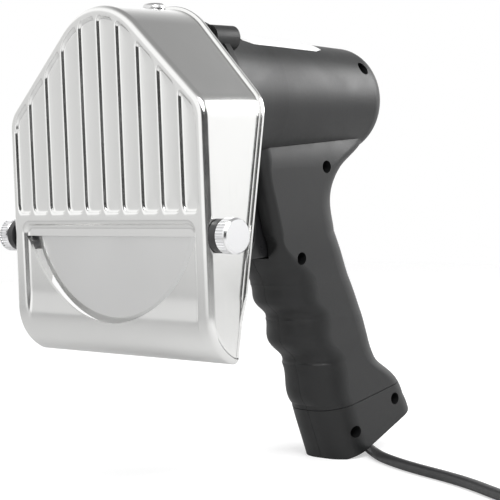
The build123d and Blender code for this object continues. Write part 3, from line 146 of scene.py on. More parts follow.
class SLICER_PG_lead(bpy.types.PropertyGroup):
    """Power lead and its coil."""

    diameter: length("Diameter", "Outside diameter of the lead", 0.0046, min=0.002)
    loop_gap: length("Loop gap", "Gap between loops of the coil", 0.0005, min=0)
    inner_radius: length("Inner radius", "Radius of the smallest loop", 0.0172, min=0.005)
    loops: IntProperty(name="Loops", description="Loops in one layer of the coil", default=4, min=1, max=12)
    tail: length("Tail", "Straight lead between coil and plug", 0.026, min=0)


class SLICER_PG_label(bpy.types.PropertyGroup):
    """Blank white label on top of the barrel."""

    start: length("Start", "Front edge behind the ribbed face", 0.0655)
    end: length("End", "Rear edge behind the ribbed face", 0.1148)
    spread: angle("Spread", "Angle from the barrel's top to a side edge", 36)
    thickness: length("Thickness", "Thickness of the label", 0.0002, min=0)


class SLICER_PG_finish(bpy.types.PropertyGroup):
    """Main colours."""

    sheet: colour("Sheet", "Stainless sheet of the guard", (0.80, 0.80, 0.79))
    handle: colour("Handle", "Plastic of barrel and grip", (0.0065, 0.0068, 0.0071))
    trim: colour("Trim", "Black plastic trim", (0.011, 0.011, 0.012))
    lead: colour("Lead", "Jacket of the lead and plug", (0.012, 0.012, 0.013))
    label: colour("Label", "Blank label", (0.64, 0.64, 0.64))


SETTINGS = {
    "slicer_view": SLICER_PG_view,
    "slicer_studio": SLICER_PG_studio,
    "slicer_guard": SLICER_PG_guard,
    "slicer_lead": SLICER_PG_lead,
    "slicer_label": SLICER_PG_label,
    "slicer_finish": SLICER_PG_finish,
}


# Shared shader effects


def feed(tree, socket, value):
    """Sets a socket to a plain value, or links another socket to it."""
    if isinstance(value, bpy.types.NodeSocket):
        tree.links.new(value, socket)
    else:
        socket.default_value = value


def place(tree, kind, **values):
    """A node with its inputs and settings."""
    node = tree.nodes.new(kind)
    for key, value in values.items():
        if key in node.inputs:
            feed(tree, node.inputs[key], value)
        else:
            setattr(node, key, value)
    return node


def computed(tree, kind, operation, values):
    """A node that works on its inputs in order."""
    node = place(tree, kind, operation=operation)
    for socket, value in zip(node.inputs, values):
        feed(tree, socket, value)
    return node


def number(tree, operation, *values):
    """A maths node of plain values and links."""
    return computed(tree, "ShaderNodeMath", operation, values).outputs[0]


def vector(tree, operation, *values):
    """A vector maths node; a dot product comes out as a value."""
    result = "Value" if operation == "DOT_PRODUCT" else "Vector"
    return computed(tree, "ShaderNodeVectorMath", operation, values).outputs[result]


def stretched(tree, value, low, high, to_low=0.0, to_high=1.0):
    """A value taken from one span to another."""
    node = tree.nodes.new("ShaderNodeMapRange")
    spans = {"Value": value, "From Min": low, "From Max": high, "To Min": to_low, "To Max": to_high}
    for label, item in spans.items():
        feed(tree, node.inputs[label], item)
    return node.outputs[0]


def own_space(tree):
    """Places in the object's own space."""
    return tree.nodes.new("ShaderNodeTexCoord").outputs["Object"]


def noise(tree, where, scale, **values):
    """A noise over some space."""
    return place(tree, "ShaderNodeTexNoise", Vector=where, Scale=scale, **values).outputs["Fac"]


def add_group(name, inputs, outputs):
    """An empty shader node group with named sockets; gives the tree, what comes in and what goes out."""
    group = bpy.data.node_groups.new(name, "ShaderNodeTree")
    for label, value in inputs.items():
        kind = "NodeSocketFloat" if isinstance(value, float) else "NodeSocketVector"
        group.interface.new_socket(name=label, in_out="INPUT", socket_type=kind).default_value = value
    for label in outputs:
        group.interface.new_socket(name=label, in_out="OUTPUT", socket_type="NodeSocketFloat")
    entry = group.nodes.new("NodeGroupInput")
    leave = group.nodes.new("NodeGroupOutput")
    return group, entry.outputs, leave.inputs


def speckle_group(name):
    """Fine uneven mottle between two values."""
    group, given, result = add_group(name, {"Scale": 300.0, "Low": 0.0, "High": 1.0}, ["Value"])
    fine = noise(group, own_space(group), given["Scale"], Detail=3.0, Roughness=0.6)
    feed(group, result["Value"], stretched(group, fine, 0.3, 0.7, given["Low"], given["High"]))


def grain_group(name):
    """Spark-eroded grain of moulded plastic: a height and a roughness share."""
    group, given, result = add_group(name, {"Scale": 2200.0, "Depth": 1.0}, ["Height", "Share"])
    where = own_space(group)
    cells = place(group, "ShaderNodeTexVoronoi", feature="SMOOTH_F1", Vector=where, Scale=given["Scale"])
    coarse = noise(group, where, number(group, "MULTIPLY", given["Scale"], 0.45), Detail=2.0)
    blend = number(group, "MULTIPLY_ADD", cells.outputs["Distance"], 0.6, coarse)
    feed(group, result["Height"], number(group, "MULTIPLY", blend, given["Depth"]))
    feed(group, result["Share"], stretched(group, coarse, 0.3, 0.7))


def wear_and_highlight_group(name):
    """Mask of edges where the colour is made paler: partly worn, partly a painted highlight."""
    group, given, result = add_group(name, {"Width": 0.0006, "Breakup": 260.0}, ["Mask"])
    bevel = place(group, "ShaderNodeBevel", samples=4, Radius=given["Width"])
    plain = group.nodes.new("ShaderNodeNewGeometry").outputs["Normal"]
    edge = stretched(group, vector(group, "DOT_PRODUCT", bevel.outputs[0], plain), 0.985, 0.86)
    patchy = noise(group, own_space(group), given["Breakup"], Detail=3.0)
    patchy = stretched(group, patchy, 0.38, 0.62, 0.15)
    feed(group, result["Mask"], number(group, "MULTIPLY", edge, patchy))


def marks_group(name):
    """Soft patches where hands and cleaning have dulled or polished a surface."""
    group, given, result = add_group(name, {"Scale": 35.0}, ["Mask"])
    large = noise(group, own_space(group), given["Scale"], Detail=4.0, Roughness=0.65, Distortion=0.8)
    feed(group, result["Mask"], stretched(group, large, 0.42, 0.66))


def lines_group(name):
    """Rolling or drawing lines along one direction of a metal surface."""
    group, given, result = add_group(name, {"Stretch": (1.0, 1.0, 0.02), "Scale": 2600.0}, ["Value"])
    squeezed = vector(group, "MULTIPLY", own_space(group), given["Stretch"])
    lines = noise(group, squeezed, given["Scale"], Detail=4.0, Roughness=0.7)
    feed(group, result["Value"], stretched(group, lines, 0.3, 0.7))


def rings_and_highlight_group(name):
    """Rings left by grinding a disc about an axis along Y through a centre, and a painted highlight of
    lighter and darker sectors about that centre.
    """
    group, given, result = add_group(name, {"Centre": (0.0, 0.0, 0.0), "Scale": 2400.0}, ["Value", "Sweep"])
    split = group.nodes.new("ShaderNodeSeparateXYZ")
    feed(group, split.inputs[0], vector(group, "SUBTRACT", own_space(group), given["Centre"]))
    across, up = split.outputs["X"], split.outputs["Z"]
    squares = [number(group, "POWER", part, 2.0) for part in (across, up)]
    radius = number(group, "SQRT", number(group, "ADD", *squares))
    along_radius = place(group, "ShaderNodeCombineXYZ", X=radius).outputs[0]
    rings = noise(group, along_radius, given["Scale"], Detail=3.0, Roughness=0.7)
    feed(group, result["Value"], stretched(group, rings, 0.3, 0.7))
    # Painted highlight: four lighter and four darker sectors about the centre, in place of the turned steel's
    # radial highlights.
    turns = number(group, "MULTIPLY", number(group, "ARCTAN2", up, across), 4.0)
    feed(group, result["Sweep"], stretched(group, number(group, "SINE", turns), -1.0, 1.0))


EFFECTS = {
    "fine_mottle": speckle_group,
    "moulded_grain": grain_group,
    "rubbed_edges": wear_and_highlight_group,
    "handling_marks": marks_group,
    "drawn_lines": lines_group,
    "turned_rings": rings_and_highlight_group,
}


def effect(tree, name, **values):
    """What one use of a shared effect in a material puts out."""
    if name not in bpy.data.node_groups:
        EFFECTS[name](name)
    node = tree.nodes.new("ShaderNodeGroup")
    node.node_tree = bpy.data.node_groups[name]
    for key, value in values.items():
        feed(tree, node.inputs[key], value)
    return node.outputs


def start_finish(name, colour, metallic, roughness):
    """A new material with one Principled shader and its plain constants."""
    finish = bpy.data.materials.new(name)
    finish.use_nodes = True
    tree = finish.node_tree
    shader = tree.nodes["Principled BSDF"].inputs
    shader["Base Color"].default_value = (*colour, 1.0)
    shader["Metallic"].default_value = metallic
    shader["Roughness"].default_value = roughness
    return finish, tree, shader


def tint(tree, shader, mask, first, second):
    """Base colour between two colours by a mask."""
    mix = place(tree, "ShaderNodeMix", data_type="RGBA", Factor=mask, A=(*first, 1.0), B=(*second, 1.0))
    feed(tree, shader["Base Color"], mix.outputs["Result"])


def relief(tree, shader, height, distance):
    """A bump that feeds the shader's normal."""
    bump = place(tree, "ShaderNodeBump", Strength=1.0, Distance=distance, Height=height)
    feed(tree, shader["Normal"], bump.outputs["Normal"])


def metal_finish(name, colour, low, high, stretch, line_scale, bump=4e-6):
    """Bare metal with drawing lines, wiped patches, and paler edges that are partly worn and partly a painted
    highlight.
    """
    finish, tree, shader = start_finish(name, colour, 1.0, low)
    lines = effect(tree, "drawn_lines", Stretch=stretch, Scale=line_scale)["Value"]
    marks = effect(tree, "handling_marks", Scale=28.0)["Mask"]
    wear_and_highlight = effect(tree, "rubbed_edges", Width=0.0006)["Mask"]
    share = number(tree, "MULTIPLY_ADD", lines, 0.55, number(tree, "MULTIPLY", marks, 0.45))
    feed(tree, shader["Roughness"], stretched(tree, share, 0.0, 1.0, low, high))
    # Brighter colour along the edges: partly wear, partly a painted highlight on sharp edges.
    bright = tuple(min(part * 1.12, 0.95) for part in colour)
    tint(tree, shader, number(tree, "MULTIPLY", wear_and_highlight, 0.35), colour, bright)
    relief(tree, shader, lines, bump)
    return finish


def plastic_finish(name, colour, low, high, grain=2200.0, depth=1.2e-5, wear_and_highlight_share=0.5):
    """Moulded plastic with eroded grain, hand polish, and paler edges that are partly worn and partly a
    painted highlight.
    """
    finish, tree, shader = start_finish(name, colour, 0.0, high)
    grained = effect(tree, "moulded_grain", Scale=grain)
    marks = effect(tree, "handling_marks", Scale=30.0)["Mask"]
    wear_and_highlight = effect(tree, "rubbed_edges", Width=0.0005)["Mask"]
    share = number(tree, "MULTIPLY_ADD", grained["Share"], 0.3, number(tree, "MULTIPLY", marks, 0.7))
    feed(tree, shader["Roughness"], stretched(tree, share, 0.0, 1.0, high, low))
    # Paler colour along the edges: partly wear, partly a painted highlight.
    pale = tuple(min(part * 1.9 + 0.012, 0.9) for part in colour)
    tint(tree, shader, number(tree, "MULTIPLY", wear_and_highlight, wear_and_highlight_share), colour, pale)
    relief(tree, shader, grained["Height"], depth)
    return finish


def rubber_finish(name, colour):
    """Soft black jacket with a faint sheen and dust."""
    finish, tree, shader = start_finish(name, colour, 0.0, 0.42)
    shader["Sheen Weight"].default_value = 0.08
    feed(tree, shader["Roughness"], effect(tree, "fine_mottle", Scale=420.0, Low=0.36, High=0.5)["Value"])
    marks = effect(tree, "handling_marks", Scale=45.0)["Mask"]
    pale = tuple(part * 2.2 + 0.01 for part in colour)
    tint(tree, shader, number(tree, "MULTIPLY", marks, 0.22), colour, pale)
    relief(tree, shader, effect(tree, "fine_mottle", Scale=2600.0)["Value"], 6e-6)
    return finish


def blade_finish(name, colour):
    """Ground blade steel with fine rings about its own centre, and painted highlight sectors about it."""
    finish, tree, shader = start_finish(name, colour, 1.0, 0.3)
    rings = effect(tree, "turned_rings", Centre=at(0, 5, 120.9), Scale=1700.0)
    marks = effect(tree, "handling_marks", Scale=22.0)["Mask"]
    share = number(tree, "MULTIPLY_ADD", rings["Value"], 0.6, number(tree, "MULTIPLY", marks, 0.4))
    feed(tree, shader["Roughness"], stretched(tree, share, 0.0, 1.0, 0.3, 0.42))
    # Colour a little darker in sectors about the centre: a painted highlight pattern.
    tint(tree, shader, rings["Sweep"], colour, tuple(part * 0.96 for part in colour))
    relief(tree, shader, rings["Value"], 1.2e-6)
    return finish


def paper_finish(name, colour):
    """Smooth white label stock with faint handling marks."""
    finish, tree, shader = start_finish(name, colour, 0.0, 0.4)
    marks = effect(tree, "handling_marks", Scale=60.0)["Mask"]
    tint(tree, shader, marks, colour, tuple(part * 0.94 for part in colour))
    mottle = effect(tree, "fine_mottle", Scale=900.0, Low=0.34, High=0.46)["Value"]
    feed(tree, shader["Roughness"], mottle)
    relief(tree, shader, mottle, 5e-6)
    return finish


# Squeeze of the drawing lines' noise: they run along the axis with the small share
UPRIGHT = (1.0, 1.0, 0.02)
LENGTHWISE = (1.0, 0.02, 1.0)
SIDEWAYS = (0.02, 1.0, 1.0)
EVEN = (1.0, 1.0, 1.0)


def finish_named(name):
    """A finish of this slicer, made on first use."""
    found = bpy.data.materials.get(name)
    if found:
        return found
    chosen = bpy.context.scene.slicer_finish
    # Metals: colour, least and most roughness, squeeze, scale and height of the lines
    # Plastics: colour, least and most roughness, scale and height of the grain, share of paler edges (wear
    # and painted highlight)
    table = {
        "polished_sheet": (metal_finish, tuple(chosen.sheet), 0.13, 0.26, UPRIGHT, 2200.0),
        "chromed_knob": (metal_finish, (0.86, 0.86, 0.87), 0.16, 0.3, SIDEWAYS, 3000.0),
        "blacked_screw": (metal_finish, (0.10, 0.10, 0.105), 0.3, 0.5, EVEN, 1500.0),
        "machined_steel": (metal_finish, (0.60, 0.60, 0.61), 0.24, 0.42, LENGTHWISE, 2600.0),
        "rolled_steel": (metal_finish, (0.66, 0.66, 0.66), 0.28, 0.45, SIDEWAYS, 2000.0),
        "sintered_bronze": (metal_finish, (0.52, 0.36, 0.19), 0.34, 0.52, EVEN, 1400.0),
        "enamelled_copper": (metal_finish, (0.62, 0.28, 0.13), 0.24, 0.4, LENGTHWISE, 3200.0, 2e-5),
        "ground_blade": (blade_finish, (0.74, 0.74, 0.735)),
        "painted_case": (plastic_finish, (0.006, 0.006, 0.0063), 0.46, 0.6, 1500.0, 2.2e-5, 0.4),
        "handle_plastic": (plastic_finish, tuple(chosen.handle), 0.4, 0.52),
        "black_trim": (plastic_finish, tuple(chosen.trim), 0.22, 0.36, 2600.0, 1.0e-5, 0.35),
        "gear_nylon": (plastic_finish, (0.72, 0.71, 0.66), 0.34, 0.48, 1800.0, 8e-6, 0.2),
        "dark_ferrite": (plastic_finish, (0.035, 0.035, 0.038), 0.5, 0.65, 1600.0, 1.5e-5, 0.3),
        "pressed_carbon": (plastic_finish, (0.022, 0.022, 0.024), 0.45, 0.6, 2000.0, 1.2e-5, 0.3),
        "board_green": (plastic_finish, (0.03, 0.11, 0.055), 0.3, 0.42, 3000.0, 6e-6, 0.3),
        "lead_jacket": (rubber_finish, tuple(chosen.lead)),
        "boot_rubber": (rubber_finish, (0.014, 0.014, 0.015)),
        "label_stock": (paper_finish, tuple(chosen.label)),
    }
    maker, *values = table[name]
    return maker(name, *values)


def dress(finish, *nodes):
    """Gives solids of the frame their finish."""
    for node in nodes:
        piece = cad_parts[node]
        if not piece.material_slots:
            piece.data.materials.append(None)
        for slot in piece.material_slots:
            slot.material = finish_named(finish)


def add_object(name, data):
    """A new object in the scene."""
    item = bpy.data.objects.new(name, data)
    bpy.context.scene.collection.objects.link(item)
    return item


def new_piece(name, mesh, finish, body):
    """A new mesh piece that rides on a body."""
    piece = add_object(name, mesh)
    mesh.materials.append(finish_named(finish))
    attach(piece, body)
    return piece


# Pieces


def clamped(value, low=0.0, high=1.0):
    """A value held between two others."""
    return min(max(value, low), high)


def spaced(first, last, count):
    """Even places from one to another."""
    return [first + (last - first) * step / count for step in range(count + 1)]


class GuardForm:
    """The guard's outer surface in millimetres, from its settings."""

    # The sunk panel: corner radius, width of its border, and where it fades out around the toe
    panel_corner = 5.0
    panel_border = 2.5
    panel_fade = (-13.0, 7.0)
    # Steepness of a field's foot
    foot_steepness = 0.5
    # Columns: fine steps at a rib and at the panel's border, wider ones between
    fine_places = [0.21 * step for step in range(10)] + [2.4, 3.1, 4.0]
    border_places = [0.35 * step for step in range(16)]
    least_step = 0.12
    shoulder_columns = 12

    def __init__(self, sizes):
        for key in sizes.__annotations__:
            value = getattr(sizes, key)
            setattr(self, key, value if key in ("slope", "lean", "ribs") else value / MM)
        self.inner = self.half_width - self.edge
        self.tilt = Vector((math.sin(self.slope), math.cos(self.slope)))
        self.crest_foot = self.peak - self.crest / self.tilt.y
        self.side_x = self.half_width - self.shoulder
        self.side_z = self.peak - math.tan(self.slope) * self.side_x - self.shoulder / self.tilt.y
        self.window_x = math.sqrt(self.window_radius ** 2 - (self.window_centre - self.window_top) ** 2)

    def pressed(self, depth, radius, inside):
        """Depth of a pressed form at a distance inside its border."""
        width = math.sqrt(4 * radius ** 2 - (2 * radius - depth) ** 2)
        if inside <= 0:
            return 0.0
        if inside < width / 2:
            return radius - math.sqrt(radius ** 2 - inside ** 2)
        return depth - radius + math.sqrt(radius ** 2 - max(width - inside, 0.0) ** 2)

    def within(self, corner, across, along):
        """Distance inside a border with round corners, from those inside its two sides."""
        return corner - math.hypot(max(corner - across, 0.0), max(corner - along, 0.0))

    def sunk(self, x, z):
        """How far the fields and the panel lie behind the plain front."""
        inside = self.within(
            self.panel_corner,
            self.panel_width / 2 + self.panel_border - abs(x),
            self.panel_top + self.panel_border - z,
        )
        faded, full = self.panel_fade
        share = clamped((z - self.toe - faded) / (full - faded))
        panel = self.pressed(self.panel_depth, self.press, inside) * share * share * (3 - 2 * share)
        return max(panel, self.field(x, z))

    def field(self, x, z):
        """Depth of the pressed fields between the ribs."""
        middle = (self.ribs - 1) / 2
        last = middle * self.pitch
        reach = math.sqrt(4 * self.field_press ** 2 - (2 * self.field_press - self.field_depth) ** 2)
        if abs(x) >= last:
            near, far = last + self.rib_crown, self.field_side
            place = abs(x)
        else:
            near, far = self.rib_crown, self.pitch - self.rib_crown
            place = (x + last) % self.pitch
        steep = math.tan(self.slope)
        room = (self.peak - steep * abs(x) - z) * self.tilt.y
        beyond = abs(x) - self.side_x
        if z > self.crest_foot and abs(x) < steep * (z - self.crest_foot):
            room = self.crest - math.hypot(x, z - self.crest_foot)
        elif z > self.side_z and beyond > steep * (z - self.side_z):
            room = self.shoulder - math.hypot(beyond, z - self.side_z)
        across = min(place - near, far - place)
        along = min((z - self.field_foot) * self.foot_steepness, room - self.field_margin)
        inside = self.within(self.field_corner, across, along)
        depth = self.pressed(self.field_depth, self.field_press, inside)
        dish = clamped((min(across, along) - reach / 2) / ((far - near) / 2 - reach / 2))
        return depth + self.field_dish * (1 - (1 - dish) ** 2)

    def top(self, x):
        """Height and outward normal of the edge bend's inner line over a place."""
        away = abs(x)
        crest = self.crest - self.edge
        shoulder = self.shoulder - self.edge
        if away <= crest * self.tilt.x:
            lean = math.asin(away / crest)
            height = self.crest_foot + crest * math.cos(lean)
        elif away >= self.side_x + shoulder * self.tilt.x:
            lean = math.asin(min((away - self.side_x) / shoulder, 1.0))
            height = self.side_z + shoulder * math.cos(lean)
        else:
            lean = self.slope
            height = self.peak - self.edge / self.tilt.y - math.tan(self.slope) * away
        return height, Vector((math.copysign(math.sin(lean), x), math.cos(lean)))

    def spot(self, x, run, back):
        """A point of the front from its run up the sheet, moved inwards."""
        if run >= self.toe:
            return at(x, back, run)
        turn = (self.toe - run) / self.toe_radius
        radius = self.toe_radius - back
        return at(x, self.toe_radius - radius * math.cos(turn), self.toe - radius * math.sin(turn))

    def columns(self):
        """Places across the front, closer together at pressed edges and at the shoulders."""
        bend = self.side_x + (self.shoulder - self.edge) * self.tilt.x
        fine = self.fine_places + [self.pitch / 2]
        border = self.panel_width / 2 + self.panel_border
        places = [border - offset for offset in self.border_places]
        places += [self.field_side - offset for offset in fine]
        for rib in range((self.ribs + 1) // 2):
            for offset in fine:
                places += [rib * self.pitch + offset, rib * self.pitch - offset]
        half = [bend, self.window_x]
        for place in sorted(places):
            if self.least_step < place < bend and all(abs(place - kept) > self.least_step for kept in half):
                half.append(place)
        for lean in spaced(self.slope, math.pi / 2, self.shoulder_columns)[1:]:
            half.append(self.side_x + (self.shoulder - self.edge) * math.sin(lean))
        half.sort()
        return [-x for x in reversed(half)] + [0.0] + half

    def window_run(self, x):
        """Run up the sheet at which the window begins over a place."""
        if abs(x) >= self.window_x:
            return self.window_top
        height = self.window_centre - math.sqrt(self.window_radius ** 2 - x ** 2)
        if height >= self.toe:
            return height
        turn = math.asin((self.toe - height) / (self.toe_radius - self.panel_depth))
        return self.toe - self.toe_radius * turn


# Rows of the guard's front: below the window, past the ribs' foot, along the ribs and under the roof
LOWER_ROWS, RIB_FOOT_ROWS, RIB_ROWS, ROOF_ROWS = 46, 40, 14, 26
# How far fine rows reach above the fields' foot and below the roof, in millimetres
FOOT_REACH, ROOF_REACH = 6.0, 12.0
EDGE_ROWS = 9
# Distances behind the ribbed face at which the walls get a row; the last lies past every rim
WALL_ROWS = (12.0, 24.0, 60.0)
# Least distance in millimetres between two of those rows; the first keeps a flat wall's shading even
SUPPORT = 0.8


def guard_skin(work, form):
    """The outer surface of the guard, drawn past its rim."""
    lowest = form.toe - form.toe_radius * math.pi / 2
    middle = form.field_foot + FOOT_REACH
    lower = []
    upper = []
    rim = []
    for x in form.columns():
        top, normal = form.top(x)
        low, high = [
            [(x, run, work.verts.new(form.spot(x, run, form.sunk(x, run)))) for run in runs]
            for runs in (
                spaced(lowest, form.window_run(x), LOWER_ROWS),
                spaced(form.window_top, middle, RIB_FOOT_ROWS)[abs(x) >= form.window_x:]
                + spaced(middle, top - ROOF_REACH, RIB_ROWS)[1:]
                + spaced(top - ROOF_REACH, top, ROOF_ROWS)[1:],
            )
        ]
        if abs(x) >= form.window_x:
            high.insert(0, low[-1])
        lower.append(low)
        upper.append(high)
        rim.append((high[-1], normal))
    for grid in (lower, upper):
        for first, second in zip(grid, grid[1:]):
            joined(work, [item[2] for item in first], [item[2] for item in second])
    left = [(item, Vector((-1.0, 0.0))) for item in lower[0] + upper[0][1:-1]]
    right = [(item, Vector((1.0, 0.0))) for item in lower[-1] + upper[-1][1:-1]]
    border = left + rim + right[::-1]
    ring = [item[2] for item, _ in border]
    for turn in spaced(0.0, math.pi / 2, EDGE_ROWS)[1:]:
        out = form.edge * math.sin(turn)
        back = form.edge * (1 - math.cos(turn))
        following = []
        for (x, run, _), normal in border:
            wide = x + normal.x * out
            high = run + normal.y * out
            following.append(work.verts.new(form.spot(wide, high, max(form.sunk(wide, high), back))))
        ring = joined(work, ring, following)
    for reach in (form.edge + SUPPORT, *WALL_ROWS):
        following = []
        for vert in ring:
            spot = vert.co.copy()
            spot.y = max(RIB_FACE + reach * MM, spot.y + SUPPORT * MM)
            following.append(work.verts.new(spot))
        ring = joined(work, ring, following)


def joined(work, first, second):
    """Faces between two open rows of points; gives back the second row."""
    for a, b, c, d in zip(first, first[1:], second, second[1:]):
        work.faces.new((a, b, d, c))
    return second


# The turned lip's section: share of the normal and distance behind the wall's end, in millimetres
LIP_SECTION = (
    (0.12, 0.30), (0.50, 0.50), (1.35, 0.50), (1.60, 0.75),
    (1.60, 1.55), (1.35, 1.80), (-0.90, 1.80), (-1.20, 1.50),
)
# Heights over the toe, in millimetres, between which the lip grows from its least share to its full one
LIP_FADE = (-4.0, 7.0)
LEAST_LIP = 0.05
# Distance of the wall's last support row from the rim, in millimetres
RIM_SUPPORT = 0.7
# Bends sharper than this are shaded as edges
SHARP = math.radians(38)


def cut_across(work, spot, normal, clear):
    """Cuts the whole mesh by a plane, and may take away what lies beyond it."""
    everything = list(work.verts) + list(work.edges) + list(work.faces)
    bmesh.ops.bisect_plane(work, geom=everything, plane_co=spot, plane_no=normal, clear_outer=clear)


def guard_mesh(form):
    """The guard as a closed sheet with its turned lip."""
    work = bmesh.new()
    guard_skin(work, form)
    bmesh.ops.recalc_face_normals(work, faces=work.faces)
    front = min(work.faces, key=lambda face: face.calc_center_median().y)
    if front.normal.y > 0:
        bmesh.ops.reverse_faces(work, faces=work.faces)
    behind = Vector((0.0, math.cos(form.lean), -math.sin(form.lean)))
    shoulder = form.side_z + form.shoulder * form.tilt.y
    foot = at(0, form.depth, shoulder) - behind * LIP_SECTION[5][1] * MM
    cut_across(work, foot, behind, True)
    cut_across(work, foot - behind * RIM_SUPPORT * MM, behind, False)
    work.normal_update()
    outer = list(work.verts)
    skin = list(work.faces)
    edges = [edge for edge in work.edges if edge.is_boundary]
    inner = {vert: work.verts.new(vert.co - vert.normal * form.sheet * MM) for vert in outer}
    for face in skin:
        work.faces.new([inner[vert] for vert in reversed(face.verts)])
    ends = {}
    for edge in edges:
        for vert in edge.verts:
            if vert not in ends:
                ends[vert] = [vert, inner[vert]]
                if abs((vert.co - foot).dot(behind)) < 1e-6:
                    out = (vert.normal - behind * vert.normal.dot(behind)).normalized()
                    faded, full = LIP_FADE
                    share = clamped(((vert.co.z - STAND) / MM - form.toe - faded) / (full - faded), LEAST_LIP)
                    lip = []
                    for side, back in LIP_SECTION:
                        aside = out * (side * share if side > 0 else side)
                        lip.append(work.verts.new(vert.co + (aside + behind * back) * MM))
                    ends[vert] = [vert] + lip + [inner[vert]]
    for edge in edges:
        first, second = (ends[vert] for vert in edge.verts)
        if len(first) != len(second):
            raise RuntimeError("The guard's edge is broken")
        joined(work, first, second)
    bmesh.ops.recalc_face_normals(work, faces=work.faces)
    for face in work.faces:
        face.smooth = True
    mesh = bpy.data.meshes.new("ribbed_guard")
    work.to_mesh(mesh)
    work.free()
    mesh.set_sharp_from_angle(angle=SHARP)
    return mesh


# Holes of the guard in millimetres: radius, then front and back of the knobs' slots and their height
SLOT_RADIUS, SLOT_FRONT, SLOT_BACK, SLOT_HEIGHT = 2.3, 5.9, 13.9, 105.7
CREST_HOLE_RADIUS, CREST_HOLE_DEPTH = 2.15, 30.7
# What the cutters span: past both walls, and through the crest
SLOT_SPAN = (-66.0, 66.0)
CREST_SPAN = (184.0, 200.0)
ROUND_STEPS = 32


def drilled(mesh):
    """The guard's mesh with the slots for the knobs and the hole for the crest screw."""
    cutter = bpy.data.meshes.new("guard_cutter")
    work = bmesh.new()
    turns = [math.tau * step / ROUND_STEPS for step in range(ROUND_STEPS)]
    slots = []
    for side in SLOT_SPAN:
        ring = []
        for turn in turns:
            turn += math.pi / ROUND_STEPS
            depth = SLOT_BACK if math.cos(turn) > 0 else SLOT_FRONT
            height = SLOT_HEIGHT + SLOT_RADIUS * math.sin(turn)
            ring.append(work.verts.new(at(side, depth + SLOT_RADIUS * math.cos(turn), height)))
        slots.append(ring)
    holes = []
    for height in CREST_SPAN:
        ring = []
        for turn in turns:
            depth = CREST_HOLE_DEPTH + CREST_HOLE_RADIUS * math.sin(turn)
            ring.append(work.verts.new(at(CREST_HOLE_RADIUS * math.cos(turn), depth, height)))
        holes.append(ring)
    for first, second in (slots, holes):
        joined(work, first + first[:1], second + second[:1])
        work.faces.new(first)
        work.faces.new(second[::-1])
    bmesh.ops.recalc_face_normals(work, faces=work.faces)
    work.to_mesh(cutter)
    work.free()
    tool = add_object("guard_cutter", cutter)
    blank = add_object("guard_blank", mesh)
    cut = blank.modifiers.new("cut", "BOOLEAN")
    cut.operation = "DIFFERENCE"
    cut.solver = "EXACT"
    cut.object = tool
    result = bpy.data.meshes.new_from_object(blank.evaluated_get(bpy.context.evaluated_depsgraph_get()))
    if len(result.polygons) <= len(mesh.polygons):
        raise RuntimeError("The guard's holes weren't cut")
    for item in (tool, blank):
        bpy.data.objects.remove(item)
    for spare in (cutter, mesh):
        bpy.data.meshes.remove(spare)
    result.name = "ribbed_guard"
    return result


class SLICER_OT_guard(bpy.types.Operator):
    """Press the ribbed guard, and finish its crest screw and the runner"""

    bl_idname = "slicer.guard"
    bl_label = "Ribbed guard"

    def execute(self, context):
        mesh = drilled(guard_mesh(GuardForm(context.scene.slicer_guard)))
        guard = new_piece("ribbed_guard", mesh, "polished_sheet", "guard")
        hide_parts("blade_guard")
        dress("rolled_steel", "guard_top_screw")
        dress("gear_nylon", "guard_guide_block")
        return {"FINISHED"}


class SLICER_OT_knobs(bpy.types.Operator):
    """Finish the two knurled thumb knobs and their spacers"""

    bl_idname = "slicer.knobs"
    bl_label = "Thumb knobs"

    def execute(self, context):
        dress("chromed_knob", "thumb_knob_left", "thumb_knob_right")
        dress("boot_rubber", "knob_washer_left", "knob_washer_right")
        return {"FINISHED"}


class SLICER_OT_cutting(bpy.types.Operator):
    """Finish the blade with its hub, gear and fixings"""

    bl_idname = "slicer.cutting"
    bl_label = "Blade and spindle"

    def execute(self, context):
        dress("ground_blade", "round_blade")
        dress("machined_steel", "blade_spindle", "spindle_circlip")
        dress("blacked_screw", "blade_screw")
        dress("gear_nylon", "blade_gear")
        return {"FINISHED"}


class SLICER_OT_gearbox(bpy.types.Operator):
    """Finish the gearbox, its carrier, seal and bushes"""

    bl_idname = "slicer.gearbox"
    bl_label = "Gearbox"

    def execute(self, context):
        dress("painted_case", "gearbox_case", "gearbox_cover", "motor_flange")
        dress("blacked_screw", "gearbox_screws", "carrier_screws", "flange_screws")
        dress("rolled_steel", "guard_carrier")
        dress("sintered_bronze", "spindle_bush_front", "spindle_bush_rear")
        dress("boot_rubber", "shaft_seal")
        return {"FINISHED"}


class SLICER_OT_motor(bpy.types.Operator):
    """Finish the motor inside the barrel"""

    bl_idname = "slicer.motor"
    bl_label = "Motor"

    def execute(self, context):
        dress("rolled_steel", "motor_can", "armature_core")
        dress("dark_ferrite", "field_magnets")
        dress("black_trim", "motor_end_bell", "cooling_fan")
        dress("sintered_bronze", "motor_bearings")
        dress("pressed_carbon", "carbon_brushes")
        dress("machined_steel", "motor_shaft", "drive_pinion")
        dress("enamelled_copper", "armature_winding", "commutator")
        return {"FINISHED"}


class SLICER_OT_handle(bpy.types.Operator):
    """Finish the handle halves, the end cap and what they hold"""

    bl_idname = "slicer.handle"
    bl_label = "Handle"

    def execute(self, context):
        dress("handle_plastic", "handle_shell_left", "handle_shell_right", "end_cap_left", "end_cap_right")
        dress("blacked_screw", "shell_screws", "end_cap_screws", "clamp_screws")
        dress("black_trim", "cord_clamp", "board_parts")
        dress("boot_rubber", "strain_relief")
        dress("board_green", "rectifier_board")
        return {"FINISHED"}


